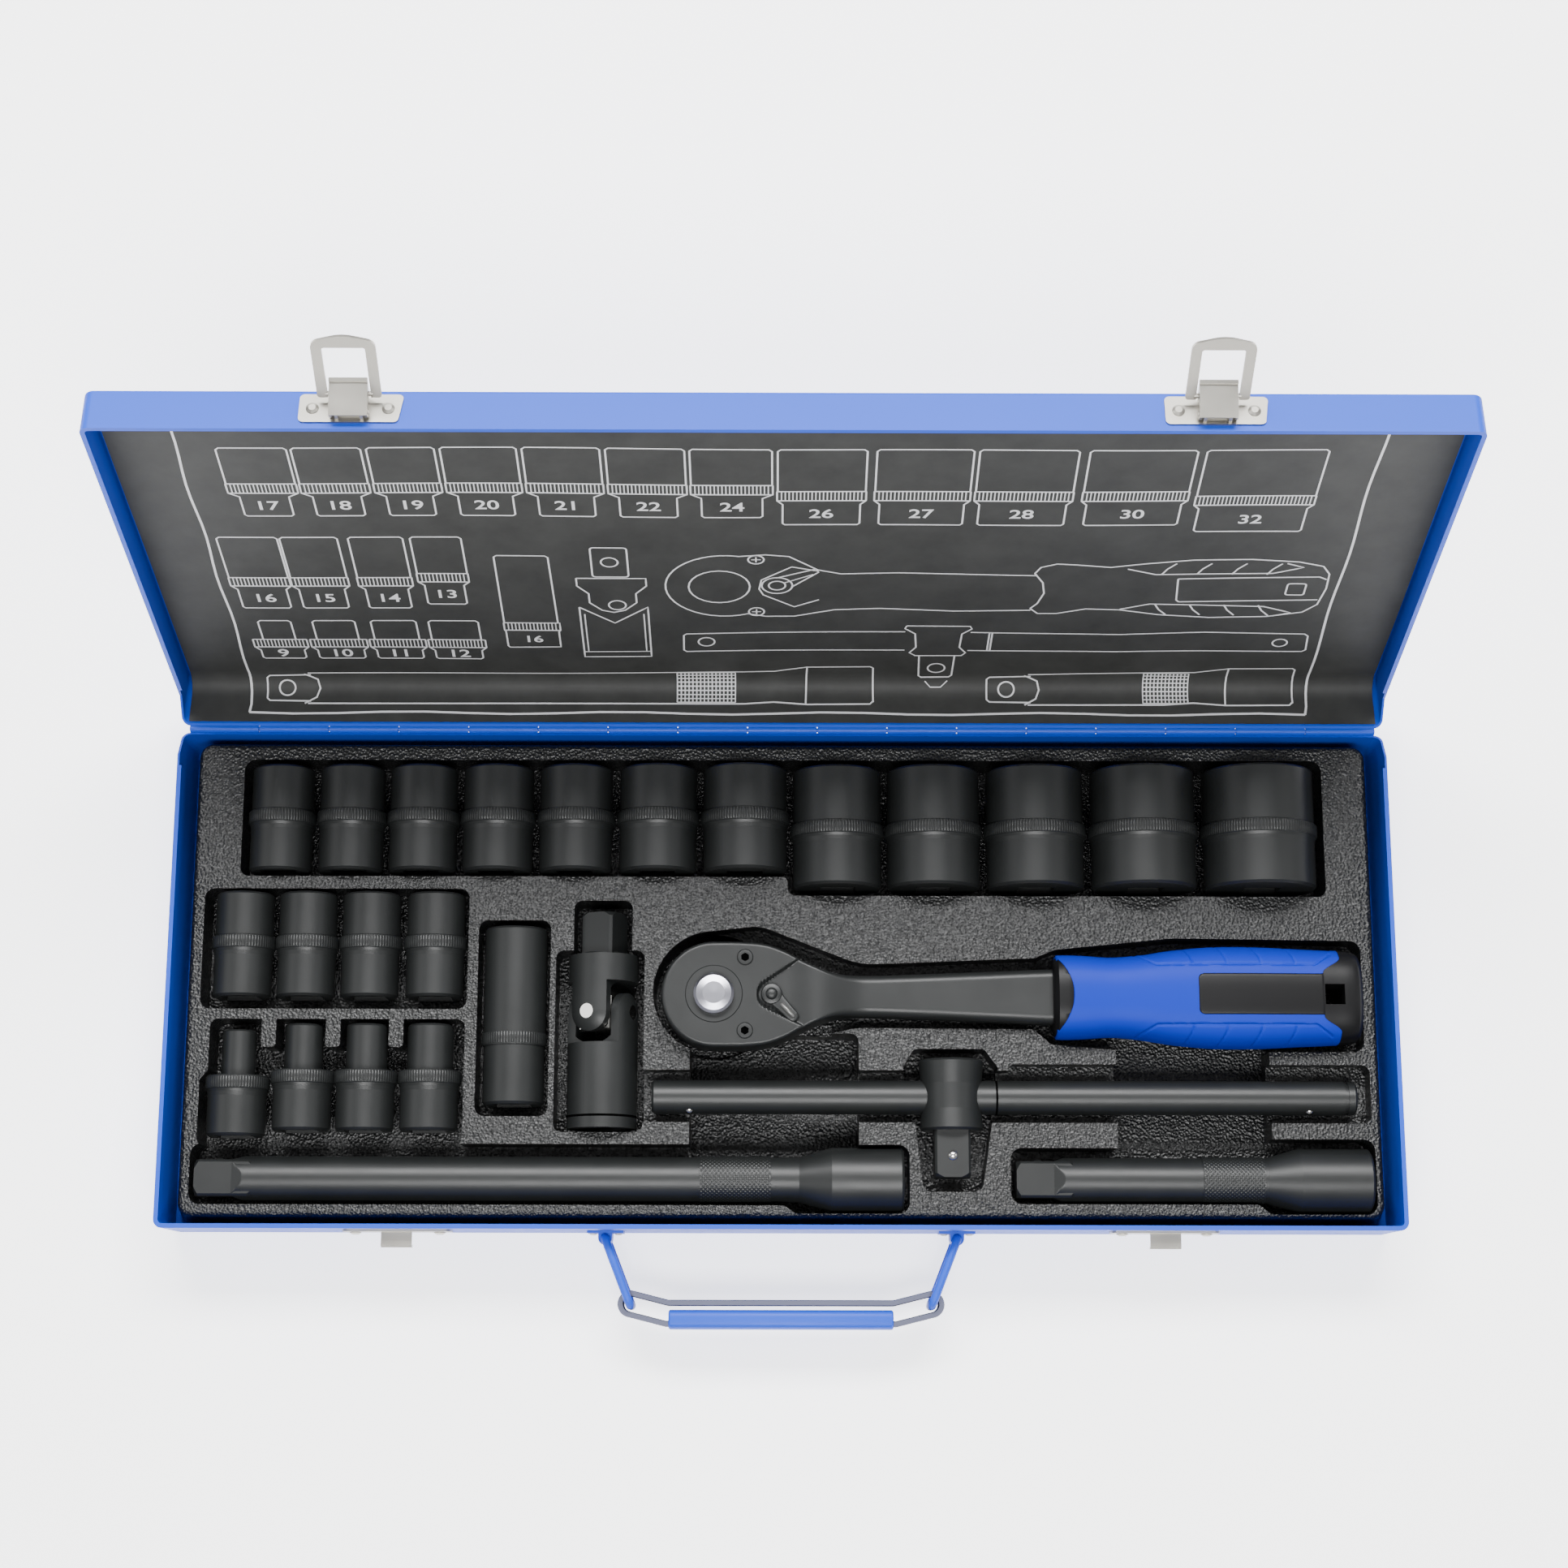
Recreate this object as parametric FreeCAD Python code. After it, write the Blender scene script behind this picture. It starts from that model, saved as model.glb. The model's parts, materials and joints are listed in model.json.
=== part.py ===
import FreeCAD, Part
import math
import os

# Socket wrench set in a folded steel case, lying open on a table. Millimetres.
# Frame: origin at the centre of the case's underside, +X right, +Y back, +Z up.
# The case's front wall, with the carrying handle, faces -Y. The lid is hinged
# along the back and is drawn open. Lid pieces are drawn closed, then turned.

Vector = FreeCAD.Vector

# ---- Driving dimensions: case -------------------------------------------------
CASE_W = 437.0            # outer width, X
CASE_D = 178.0            # outer depth, Y
BASE_H = 35.0             # base height at the front and side rim
CASE_H = 50.0             # closed height over the lid
SHEET = 0.8               # folded steel sheet
HEM = 0.8                 # extra thickness of the folded-over rim
HEM_H = 5.5
CASE_CORNER = 3.0         # vertical corner radius
FOLD_R = 1.2              # fold radius along the bottom and the lid's top
BACK_RIM = 27.8           # height of the base's back rim
RIM_SLOPE = 9.6           # the side rim drops to the back rim over this depth
SPLIT_GAP = 0.3           # gap between the closed lid and the base
LID_ANGLE = 106.0         # how far the lid is open at rest

HINGE_Y = CASE_D / 2 + 1.5
HINGE_Z = BACK_RIM
HINGE_LEN = 432.0
KNUCKLES = 17
KNUCKLE_R = 1.4
KNUCKLE_GAP = 0.4
PIN_R = 0.75
RUN = 0.05                # running clearance on a pin
LEAF_H = 11.0

# ---- Driving dimensions: latches and handle -----------------------------------
LATCH_X = 134.5
LATCH_REST = 22.0         # lever angle off the lid wall at rest
LOOP_REST = 53.0          # loop angle off the lever at rest
LATCH_PIVOT = (2.8, 39.6)     # distance out from the wall, height when closed
LOOP_PIVOT = (2.2, 45.6)
LOOP_REACH = 22.1         # loop pivot to the loop's outer end
LOOP_W = 20.0
LOOP_ARM = 3.3
LOOP_T = 1.0
CATCH_W = 10.8

BRACKET_X = 62.0
BRACKET_Z = 17.0
WIRE_R = 1.5
LINK_PIN_OUT = 2.5        # link pin's axis, out from the front wall
LINK_DX = 9.2             # the link runs inward by this
LINK_DY = 23.2            # and forward by this
LINK_H = 14.6             # height between the link's two arms
GRIP_HALF = 57.2          # half the grip ring's length
GRIP_W = 9.3
GRIP_T = 1.6
GRIP_H = 9.0
GRIP_FLAT = 40.0          # half the straight middle of the grip
GRIP_BEND = 14.0
GRIP_Y = -117.4            # centre line of the grip's straight middle

# ---- Driving dimensions: tray -------------------------------------------------
LAND_Z = 27.0
TRAY_X = 212.0
TRAY_FRONT = -84.5
TRAY_BACK = 85.0
TRAY_WALL = 1.2
LIE_GAP = 0.25            # gap under a tool lying in its pocket
BIG = 400.0

# ---- Driving dimensions: tools ------------------------------------------------
DRIVE = 12.7              # half-inch square drive
DRIVE_BORE = 12.9
AXIS_Z = 21.5             # height of the small sockets' axes
AXIS_RISE = 0.19          # larger sockets lie higher by this share of their radius
SMALL_R = 11.0
# size, centre x, outside diameter; hex end to the back
FRONT_TO_BACK_1 = (38.2, 76.6)
FRONT_TO_BACK_2 = (32.4, 75.8)
ROW_1 = [
    (17, -181.9, 23.4), (18, -156.5, 24.4), (19, -130.5, 25.4), (20, -103.3, 26.4),
    (21, -75.0, 27.4), (22, -45.1, 29.0), (24, -13.5, 31.4),
]
ROW_1_LARGE = [
    (26, 19.9, 33.0), (27, 54.8, 34.6), (28, 91.7, 36.2), (30, 131.0, 38.8), (32, 173.0, 41.2),
]
ROW_2 = [(16, -193.8), (15, -171.0), (14, -148.1), (13, -124.8)]
ROW_2_Y = (-7.3, 30.3)
# size, centre x, nose diameter, front end y
ROW_3 = [
    (9, -193.8, 13.0, -56.6), (10, -170.7, 14.6, -54.6), (11, -148.2, 15.8, -54.6),
    (12, -125.5, 17.6, -54.6),
]
ROW_3_LEN = 37.8
SMALL_OD = 21.8
RING_STAND = 0.2          # the knurled ring's radius, over the nominal body's
RING_LEN = 4.8
BARREL_INSET = 0.55       # the plain barrel lies this far inside the nominal body
DEEP = (16, -95.6, 22.4, -45.4, 17.8)

UJOINT_X = -64.0
UJOINT_Y = -12.6          # centre of the cross
UJOINT_Z = 21.0
UJOINT_R = 12.5
UJOINT_FRONT = -53.6
UJOINT_SHOULDER = 8.0
UJOINT_TIP = 23.6
UJOINT_ROLL = -26.0       # the joint lies rolled about its own length
EAR_R = 7.0
EAR_GAP = 7.2             # half the gap between a yoke's ears
CROSS_PIN_R = 2.6
BRIDGE_Y = 11.0           # a yoke is whole beyond this distance from the cross

TBAR_Y = -42.4
TBAR_Z = 24.0
TBAR_R = 6.0
TBAR_ENDS = (-46.0, 203.8)
TBAR_HEAD_X = 60.3
TBAR_HEAD_R = 11.6
TBAR_HEAD_Y = (-54.2, -29.2)
TBAR_TIP_Y = -70.6
TBAR_BALLS = (-32.6, 186.9)

BAR_Y = -71.2
BAR_Z = 21.5
BAR_R = 7.9
BAR_SOCKET_R = 11.2
LONG_BAR = (-206.6, 43.2, -28.9, -3.6)      # tip, socket end, knurl start and end
SHORT_BAR = (82.8, 208.2, 148.5, 170.3)
BALL_R = 2.2

RATCHET_X = -24.0
RATCHET_Y = -7.2
HEAD_R = 18.6
HEAD_Z = (19.0, 37.6)
COVER_T = 2.0
SHAFT_Z = (23.4, 33.6)
LEVER_X = -3.6
GRIP_X = (96.2, 205.6)
LEVER_SWING = 46.0        # the reversing lever points this far off the handle
PAWL_TIP = 4.0            # and tips the pawl by this angle
GEAR_R = 13.2
GEAR_TEETH = 36
HUB_R = 10.4
SCREWS = [(RATCHET_X + 11.0, RATCHET_Y + 13.0), (RATCHET_X + 11.0, RATCHET_Y - 13.0)]
BUTTON_R = 7.1


# ---- Shape helpers ------------------------------------------------------------
def box(x0, y0, z0, x1, y1, z1):
    return Part.makeBox(x1 - x0, y1 - y0, z1 - z0, Vector(x0, y0, z0))


def rod(radius, start, end):
    start, end = Vector(*start), Vector(*end)
    return Part.makeCylinder(radius, (end - start).Length, start, end - start)


def face_of(points):
    return Part.Face(Part.makePolygon([Vector(*p) for p in points] + [Vector(*points[0])]))


def turned_y(profile, x, z):
    """Solid of revolution about a line along Y; profile is (y, radius) points."""
    face = face_of([(x + r, y, z) for y, r in profile])
    return face.revolve(Vector(x, 0, z), Vector(0, 1, 0), 360)


def turned_x(profile, y, z):
    """Solid of revolution about a line along X; profile is (x, radius) points."""
    face = face_of([(x, y + r, z) for x, r in profile])
    return face.revolve(Vector(0, y, z), Vector(1, 0, 0), 360)


def turned_z(profile, x, y):
    """Solid of revolution about a line along Z; profile is (z, radius) points."""
    face = face_of([(x + r, y, z) for z, r in profile])
    return face.revolve(Vector(x, y, 0), Vector(0, 0, 1), 360)


def rounded(points, z=0.0):
    """Flat face at height z whose corners (x, y, radius) are rounded by tangent arcs."""
    count = len(points)
    starts, ends, mids = [], [], []
    for i, (x, y, r) in enumerate(points):
        here = Vector(x, y, z)
        back = (Vector(points[i - 1][0], points[i - 1][1], z) - here).normalize()
        ahead = (Vector(points[(i + 1) % count][0], points[(i + 1) % count][1], z) - here).normalize()
        half = back.getAngle(ahead) / 2
        reach = r / math.tan(half)
        inward = (back + ahead).normalize()
        starts.append(here + back * reach)
        ends.append(here + ahead * reach)
        mids.append(here + inward * (r / math.sin(half) - r))
    edges = []
    for i in range(count):
        if points[i][2] > 0:
            edges.append(Part.Arc(starts[i], mids[i], ends[i]).toShape())
        following = starts[(i + 1) % count]
        if (following - ends[i]).Length > 1e-6:
            edges.append(Part.LineSegment(ends[i], following).toShape())
    return Part.Face(Part.Wire(edges))


def rounded_rect(x0, y0, x1, y1, r, z=0.0):
    return rounded([(x0, y0, r), (x1, y0, r), (x1, y1, r), (x0, y1, r)], z)


def prism(face, z0, z1):
    """Pushes a face drawn at height 0 out between two heights."""
    solid = face.extrude(Vector(0, 0, z1 - z0))
    solid.translate(Vector(0, 0, z0))
    return solid


def grown(face, distance):
    return face.makeOffset2D(distance, 0, False, False, False)


def union(shapes):
    first = shapes[0]
    return first.multiFuse(shapes[1:]).removeSplitter() if len(shapes) > 1 else first


def ball(radius, x, y, z):
    return Part.makeSphere(radius, Vector(x, y, z))


def opened(shape):
    """Turns a piece drawn on the closed lid to the lid's resting place."""
    shape = shape.copy()
    shape.rotate(Vector(0, HINGE_Y, HINGE_Z), Vector(-1, 0, 0), LID_ANGLE)
    return shape


def save(name, shape):
    solids = shape.Solids
    assert shape.isValid() and solids, name
    result = solids[0] if len(solids) == 1 else Part.makeCompound(solids)
    result.exportStep("parts/" + name + ".step")


# ---- Case ---------------------------------------------------------------------
def folded_pan(z0, z1, open_top):
    """Thin-walled pan with rounded corners, open at the top or at the bottom."""
    w, d = CASE_W / 2, CASE_D / 2
    outer = prism(rounded_rect(-w, -d, w, d, CASE_CORNER), z0, z1)
    closed_z = z0 if open_top else z1
    rim = [
        e
        for e in outer.Edges
        if abs(e.BoundBox.ZMin - closed_z) < 0.01 and abs(e.BoundBox.ZMax - closed_z) < 0.01
    ]
    outer = outer.makeFillet(FOLD_R, rim)
    floor = (z0 + SHEET, z1 + 1) if open_top else (z0 - 1, z1 - SHEET)
    inner = prism(rounded_rect(-w + SHEET, -d + SHEET, w - SHEET, d - SHEET, CASE_CORNER - SHEET), *floor)
    return outer.cut(inner)


def hem_ring(z0, z1):
    """The folded-over rim inside the sheet, along the front and the sides."""
    w, d = CASE_W / 2 - SHEET, CASE_D / 2 - SHEET
    r = CASE_CORNER - SHEET
    ring = prism(rounded_rect(-w, -d, w, d, r), z0, z1)
    ring = ring.cut(prism(rounded_rect(-w + HEM, -d + HEM, w - HEM, d - HEM, r - HEM), z0 - 1, z1 + 1))
    return ring.cut(box(-BIG, CASE_D / 2 - RIM_SLOPE - 4, 0, BIG, BIG, BIG))


def side_wedge(drop, above):
    """Region above (or below) the rim line, which slopes down at the back."""
    y_slope, y_back = CASE_D / 2 - RIM_SLOPE, CASE_D / 2 + 0.2
    far = BIG if above else -BIG
    line = [
        (-BIG, BASE_H + drop), (y_slope, BASE_H + drop), (y_back, BACK_RIM + drop),
        (BIG, BACK_RIM + drop),
    ]
    outline = [(-BIG, y, z) for y, z in line] + [(-BIG, BIG, far), (-BIG, -BIG, far)]
    return face_of(outline).extrude(Vector(2 * BIG, 0, 0))


def base_shell():
    pan = folded_pan(0, BASE_H, True).fuse(hem_ring(BASE_H - HEM_H, BASE_H))
    save("base_shell", pan.cut(side_wedge(0, True)).removeSplitter())


def lid_shell():
    rim = BASE_H + SPLIT_GAP
    pan = folded_pan(BACK_RIM - 2, CASE_H, False).fuse(hem_ring(rim, rim + HEM_H))
    save("lid_shell", opened(pan.cut(side_wedge(SPLIT_GAP, False)).removeSplitter()))


def lid_insert():
    """Printed card under the lid's top, curving down onto its back wall."""
    thick, plate_z, back_y, bend = 1.0, 46.6, CASE_D / 2 - SHEET - 0.4, 8.0
    half = CASE_W / 2 - SHEET - 1.6

    def path(offset):
        y, z, r = back_y - offset, plate_z - offset, bend - offset
        corner = Vector(-half, y - r, z - r)
        mid = corner + Vector(0, r * math.sin(math.pi / 4), r * math.cos(math.pi / 4))
        return Vector(
            -half, -CASE_D / 2 + 2.6, z
        ), corner + Vector(0, 0, r), mid, corner + Vector(0, r, 0), Vector(-half, y, 36.5)

    a, b = path(0), path(thick)
    edges = [
        Part.LineSegment(a[0], a[1]).toShape(), Part.Arc(a[1], a[2], a[3]).toShape(),
        Part.LineSegment(a[3], a[4]).toShape(), Part.LineSegment(a[4], b[4]).toShape(),
        Part.LineSegment(b[4], b[3]).toShape(), Part.Arc(b[3], b[2], b[1]).toShape(),
        Part.LineSegment(b[1], b[0]).toShape(), Part.LineSegment(b[0], a[0]).toShape(),
    ]
    card = Part.Face(Part.Wire(edges)).extrude(Vector(2 * half, 0, 0))
    save("lid_insert", opened(card))


def hinge():
    """Piano hinge outside the back walls: knuckles take turns along one pin."""
    step = HINGE_LEN / KNUCKLES
    wall = CASE_D / 2
    axis = (HINGE_Y, HINGE_Z)
    base_z = (BACK_RIM - LEAF_H, BACK_RIM - KNUCKLE_R - 0.4)
    lid_z = (BACK_RIM + KNUCKLE_R + 0.4, BACK_RIM + LEAF_H)
    leaves = {
        0: [box(-HINGE_LEN / 2, wall, base_z[0], HINGE_LEN / 2, wall + SHEET, base_z[1])],
        1: [box(-HINGE_LEN / 2, wall, lid_z[0], HINGE_LEN / 2, wall + SHEET, lid_z[1])],
    }
    for i in range(KNUCKLES):
        x0 = -HINGE_LEN / 2 + i * step + KNUCKLE_GAP / 2
        x1 = x0 + step - KNUCKLE_GAP
        side = i % 2
        leaves[side].append(rod(KNUCKLE_R, (x0, *axis), (x1, *axis)))
        near, far = (base_z[1] - 0.1, BACK_RIM) if side == 0 else (BACK_RIM, lid_z[0] + 0.1)
        leaves[side].append(box(x0, wall + RUN, near, x1, wall + SHEET, far))
    bores = [rod(PIN_R, (-BIG, *axis), (BIG, *axis)), rod(PIN_R + RUN, (-BIG, *axis), (BIG, *axis))]
    save("hinge_base_leaf", union(leaves[0]).cut(bores[0]))
    save("hinge_lid_leaf", opened(union(leaves[1]).cut(bores[1])))
    save("hinge_pin", rod(PIN_R, (-HINGE_LEN / 2, *axis), (HINGE_LEN / 2, *axis)))


def dome(x, y, z, radius, height):
    """Rivet head on a front wall: a flat-bottomed button facing -Y."""
    return turned_y([
        (y, 0), (y, radius), (y - 0.35 * height, radius),
        (y - height, 0.55 * radius), (y - height, 0),
    ], x, z)


# ---- Latches ------------------------------------------------------------------
def out(distance):
    """The Y of a point this far out from the front wall."""
    return -CASE_D / 2 - distance


def latch_plates():
    plates, rivets, pins = [], [], []
    for x in (-LATCH_X, LATCH_X):
        face = rounded(
            [(x - 16, 37.4, 1.6), (x + 15, 37.4, 1.6), (x + 16.5, 47.8, 1.6), (x - 16, 47.8, 1.6)]
        )
        plate = face.extrude(Vector(0, 0, 0.7))
        plate.rotate(Vector(0, 0, 0), Vector(1, 0, 0), 90)
        plate.translate(Vector(0, out(0), 0))
        pivot_y, pivot_z = out(LATCH_PIVOT[0]), LATCH_PIVOT[1]
        parts = [plate]
        for side in (-1, 1):
            inner, outer = sorted((x + side * 3.4, x + side * 4.4))
            parts.append(rod(1.5, (inner, pivot_y, pivot_z), (outer, pivot_y, pivot_z)))
            parts.append(box(inner, pivot_y, pivot_z - 1.5, outer, out(0.4), pivot_z + 1.5))
        pin = rod(0.8, (x - 6.3, pivot_y, pivot_z), (x + 6.3, pivot_y, pivot_z))
        plates.append(union(parts).cut(pin))
        pins.append(pin)
        for dx in (-11.8, 11.8):
            rivets.append(dome(x + dx, out(0.7), 42.4, 2.0, 0.8))
    save("latch_plates", opened(Part.makeCompound(plates)))
    save("latch_pins", opened(Part.makeCompound(pins)))
    save("latch_rivets", opened(Part.makeCompound(rivets)))


def raised(shape, pivot, angle):
    """Swings a closed-lid latch piece out from the wall about a pivot."""
    shape = shape.copy()
    shape.rotate(Vector(0, out(pivot[0]), pivot[1]), Vector(1, 0, 0), angle)
    return shape


def lever(x):
    """U-section thumb lever, drawn flat against the closed lid's wall."""
    d, z = LATCH_PIVOT
    top, wide, sheet = z + 10.2, 6.0, 0.8
    web = box(x - wide, out(5.2), z - 1.6, x + wide, out(4.4), top)
    web = web.fuse(box(x - wide, out(5.9), top - 1.2, x + wide, out(4.4), top))
    parts = [web]
    for side in (-1, 1):
        inner, outer = sorted((x + side * (wide - sheet), x + side * wide))
        edge = [(4.4, z - 1.6), (d, z - 1.6), (1.1, z), (1.1, z + 7.6), (4.4, z + 9.4)]
        flange = face_of([(inner, out(a), b) for a, b in edge]).extrude(Vector(outer - inner, 0, 0))
        parts.append(flange.fuse(rod(1.7, (inner, out(d), z), (outer, out(d), z))))
    piece = union(parts)
    piece = piece.cut(rod(0.8 + RUN, (x - 9, out(d), z), (x + 9, out(d), z)))
    piece = piece.cut(
        rod(0.8 + RUN, (x - 9, out(LOOP_PIVOT[0]), LOOP_PIVOT[1]), (x + 9, out(LOOP_PIVOT[0]), LOOP_PIVOT[1]))
    )
    return piece


def loop(x):
    """Stamped loop, drawn standing up along the flat lever from its pivot."""
    d, z = LOOP_PIVOT
    w, arm = LOOP_W / 2, LOOP_ARM
    tip = z + LOOP_REACH
    outer = rounded(
        [
            (x - w, z - 1.2, 1.0), (x + w, z - 1.2, 1.0),
            (x + w, tip - 1.6, 3.0), (x, tip + 1.0, 14.0), (x - w, tip - 1.6, 3.0),
        ]
    )
    inner = rounded(
        [
            (x - w + arm, z - 9, 0), (x + w - arm, z - 9, 0),
            (x + w - arm, tip - 3.9, 0.8), (x - w + arm, tip - 3.9, 0.8),
        ]
    )
    frame = outer.cut(inner).extrude(Vector(0, 0, LOOP_T))
    frame.rotate(Vector(0, 0, 0), Vector(1, 0, 0), 90)
    frame.translate(Vector(0, out(d) + LOOP_T / 2, 0))
    studs = []
    for side in (-1, 1):
        studs.append(rod(0.8, (x + side * 4.8, out(d), z), (x + side * (w - arm + 0.6), out(d), z)))
    return union([frame] + studs)


def latches():
    latch_plates()
    for name, x in (("left", -LATCH_X), ("right", LATCH_X)):
        save(name + "_latch_lever", opened(raised(lever(x), LATCH_PIVOT, LATCH_REST)))
        swung = raised(raised(loop(x), LOOP_PIVOT, LOOP_REST), LATCH_PIVOT, LATCH_REST)
        save(name + "_latch_loop", opened(swung))


def catches():
    """Hooked catch plates that the latch loops pull on, riveted to the base."""
    pieces, rivets = [], []
    for x in (-LATCH_X, LATCH_X):
        face = rounded([(x - 19, 20.4, 2.0), (x + 19, 20.4, 2.0), (x + 19, 30.4, 2.0), (x - 19, 30.4, 2.0)])
        plate = face.extrude(Vector(0, 0, 0.8))
        plate.rotate(Vector(0, 0, 0), Vector(1, 0, 0), 90)
        plate.translate(Vector(0, out(0), 0))
        half = CATCH_W / 2
        hook = [
            (0.6, 28.75), (5.6, 28.75), (6.2, 28.15), (6.2, 25.6), (5.3, 25.6), (5.3, 27.85),
            (0.6, 27.85),
        ]
        tab = face_of([(x - half, out(a), b) for a, b in hook]).extrude(Vector(CATCH_W, 0, 0))
        pieces.append(plate.fuse(tab).removeSplitter())
        for dx in (-14.8, 14.8):
            rivets.append(dome(x + dx, out(0.8), 25.4, 2.1, 0.9))
    save("latch_catches", Part.makeCompound(pieces))
    return rivets


# ---- Handle -------------------------------------------------------------------
def brackets():
    pieces, rivets = [], []
    z0, z1 = BRACKET_Z - 4.8, BRACKET_Z + 4.8
    for x in (-BRACKET_X, BRACKET_X):
        strap = rod(2.45, (x, out(LINK_PIN_OUT), z0), (x, out(LINK_PIN_OUT), z1))
        strap = strap.fuse(box(x - 2.45, out(LINK_PIN_OUT), z0, x + 2.45, out(0), z1))
        strap = strap.fuse(box(x - 6.4, out(0.8), z0, x + 6.4, out(0), z1))
        bore = rod(WIRE_R + RUN, (x, out(LINK_PIN_OUT), 0), (x, out(LINK_PIN_OUT), BASE_H))
        pieces.append(strap.cut(bore).removeSplitter())
        for dx in (-4.5, 4.5):
            rivets.append(dome(x + dx, out(0.8), BRACKET_Z, 1.4, 0.6))
    save("handle_brackets", Part.makeCompound(pieces))
    return rivets


def handle_link(side):
    """Rectangular wire link: one leg in the bracket, one through the grip ring."""
    start = Vector(side * BRACKET_X, out(LINK_PIN_OUT), 0)
    end = start + Vector(-side * LINK_DX, -LINK_DY, 0)
    along = (end - start).normalize()
    length = math.hypot(LINK_DX, LINK_DY)
    bend = 2.6
    z0, z1 = BRACKET_Z - LINK_H / 2, BRACKET_Z + LINK_H / 2

    def at(distance, z):
        return start + along * distance + Vector(0, 0, z)

    def corner(distance, z, d_sign, z_sign):
        mid = bend * (1 - math.sqrt(0.5))
        return Part.Arc(
            at(distance, z + z_sign * bend),
            at(distance + d_sign * mid, z + z_sign * mid),
            at(distance + d_sign * bend, z),
        ).toShape()

    edges = [
        Part.LineSegment(at(0, z0 + bend), at(0, z1 - bend)).toShape(), corner(0, z1, 1, -1),
        Part.LineSegment(at(bend, z1), at(length - bend, z1)).toShape(), corner(length, z1, -1, -1),
        Part.LineSegment(at(length, z1 - bend), at(length, z0 + bend)).toShape(), corner(length, z0, -1, 1),
        Part.LineSegment(at(length - bend, z0), at(bend, z0)).toShape(), corner(0, z0, 1, 1),
    ]
    legs = []
    for edge in edges:
        first = edge.valueAt(edge.FirstParameter)
        tangent = edge.tangentAt(edge.FirstParameter)
        circle = Part.Wire(Part.makeCircle(WIRE_R, first, tangent))
        legs.append(Part.Wire([edge]).makePipeShell([circle], True, True))
    return union(legs)


def grip_outline(half_width):
    """Closed stadium in plan whose ends bend back towards the case."""
    lean = math.radians(GRIP_BEND)
    reach = (GRIP_HALF - GRIP_FLAT) / math.cos(lean) - GRIP_W / 2
    points = []
    for side in (1, -1):
        bend = Vector(side * GRIP_FLAT, GRIP_Y, 0)
        end = bend + Vector(side * math.cos(lean), math.sin(lean), 0) * reach
        normal = Vector(-side * math.sin(lean), math.cos(lean), 0)
        points.append((bend, end, normal, side))
    shift = half_width * math.tan(lean / 2)
    right, left = points
    edges = []

    def bend_point(item, way):
        bend, _, _, side = item
        return bend + Vector(-side * way * shift, way * half_width, 0)

    for item, way in ((right, -1), (left, 1)):
        bend, end, normal, side = item
        a = end + normal * half_width * way
        b = end - normal * half_width * way
        tip = end + Vector(side * math.cos(lean), math.sin(lean), 0) * half_width
        edges.append(Part.LineSegment(bend_point(item, way), a).toShape())
        edges.append(Part.Arc(a, tip, b).toShape())
        edges.append(Part.LineSegment(b, bend_point(item, -way)).toShape())
        other = left if item is right else right
        edges.append(Part.LineSegment(bend_point(item, -way), bend_point(other, -way)).toShape())
    return Part.Face(Part.Wire(Part.sortEdges(edges)[0]))


def handle_grip():
    """Flat steel ring on edge, with a rolled sheet cover around its front arm."""
    z0, z1 = BRACKET_Z - GRIP_H / 2, BRACKET_Z + GRIP_H / 2
    outer = prism(grip_outline(GRIP_W / 2), z0, z1)
    inner = prism(grip_outline(GRIP_W / 2 - GRIP_T), z0 - 1, z1 + 1)
    save("handle_grip_ring", outer.cut(inner))
    front, back = GRIP_Y - GRIP_W / 2 - 1.0, GRIP_Y + GRIP_W / 2 - GRIP_T - 0.7
    length = GRIP_FLAT - 0.6
    cover = box(-length, front, z0 - 1.1, length, back, z1 + 1.1)
    cover = cover.makeFillet(2.2, [e for e in cover.Edges if e.BoundBox.XLength > length])
    ring_slot = box(-BIG, front + 1.0, z0, BIG, front + 1.0 + GRIP_T, z1)
    save("handle_grip_sleeve", cover.cut(ring_slot))


# ---- Tray ---------------------------------------------------------------------
def socket_axis(radius):
    return AXIS_Z + AXIS_RISE * (radius - SMALL_R)


def rest_floor(radius):
    return socket_axis(radius) - radius - RING_STAND - LIE_GAP
class Tray:
    """Collects the pockets, each a void with a wall of even thickness around it."""

    def __init__(self):
        self.voids = []
        self.walls = []

    def pocket(self, face, floor):
        self.voids.append(prism(face, floor, LAND_Z + 1))
        self.walls.append(prism(grown(face, TRAY_WALL), floor - TRAY_WALL, LAND_Z))

    def stepped(self, face, cells):
        """A pocket whose floor steps from cell to cell: (x0, x1, floor)."""
        void = prism(face, 0, LAND_Z + 1)
        wall = prism(grown(face, TRAY_WALL), 0, LAND_Z)
        w = TRAY_WALL
        self.voids.append(void.common(union([box(x0, -BIG, f, x1, BIG, BIG) for x0, x1, f in cells])))
        below = [box(x0 - w, -BIG, f - w, x1 + w, BIG, BIG) for x0, x1, f in cells]
        self.walls.append(wall.common(union(below)))


def row_1_cells():
    row = ROW_1 + ROW_1_LARGE
    middles = [(a[1] + a[2] / 2 + b[1] - b[2] / 2) / 2 for a, b in zip(row, row[1:])]
    limits = [-BIG] + middles + [BIG]
    return [(limits[i], limits[i + 1], rest_floor(item[2] / 2)) for i, item in enumerate(row)]


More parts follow.
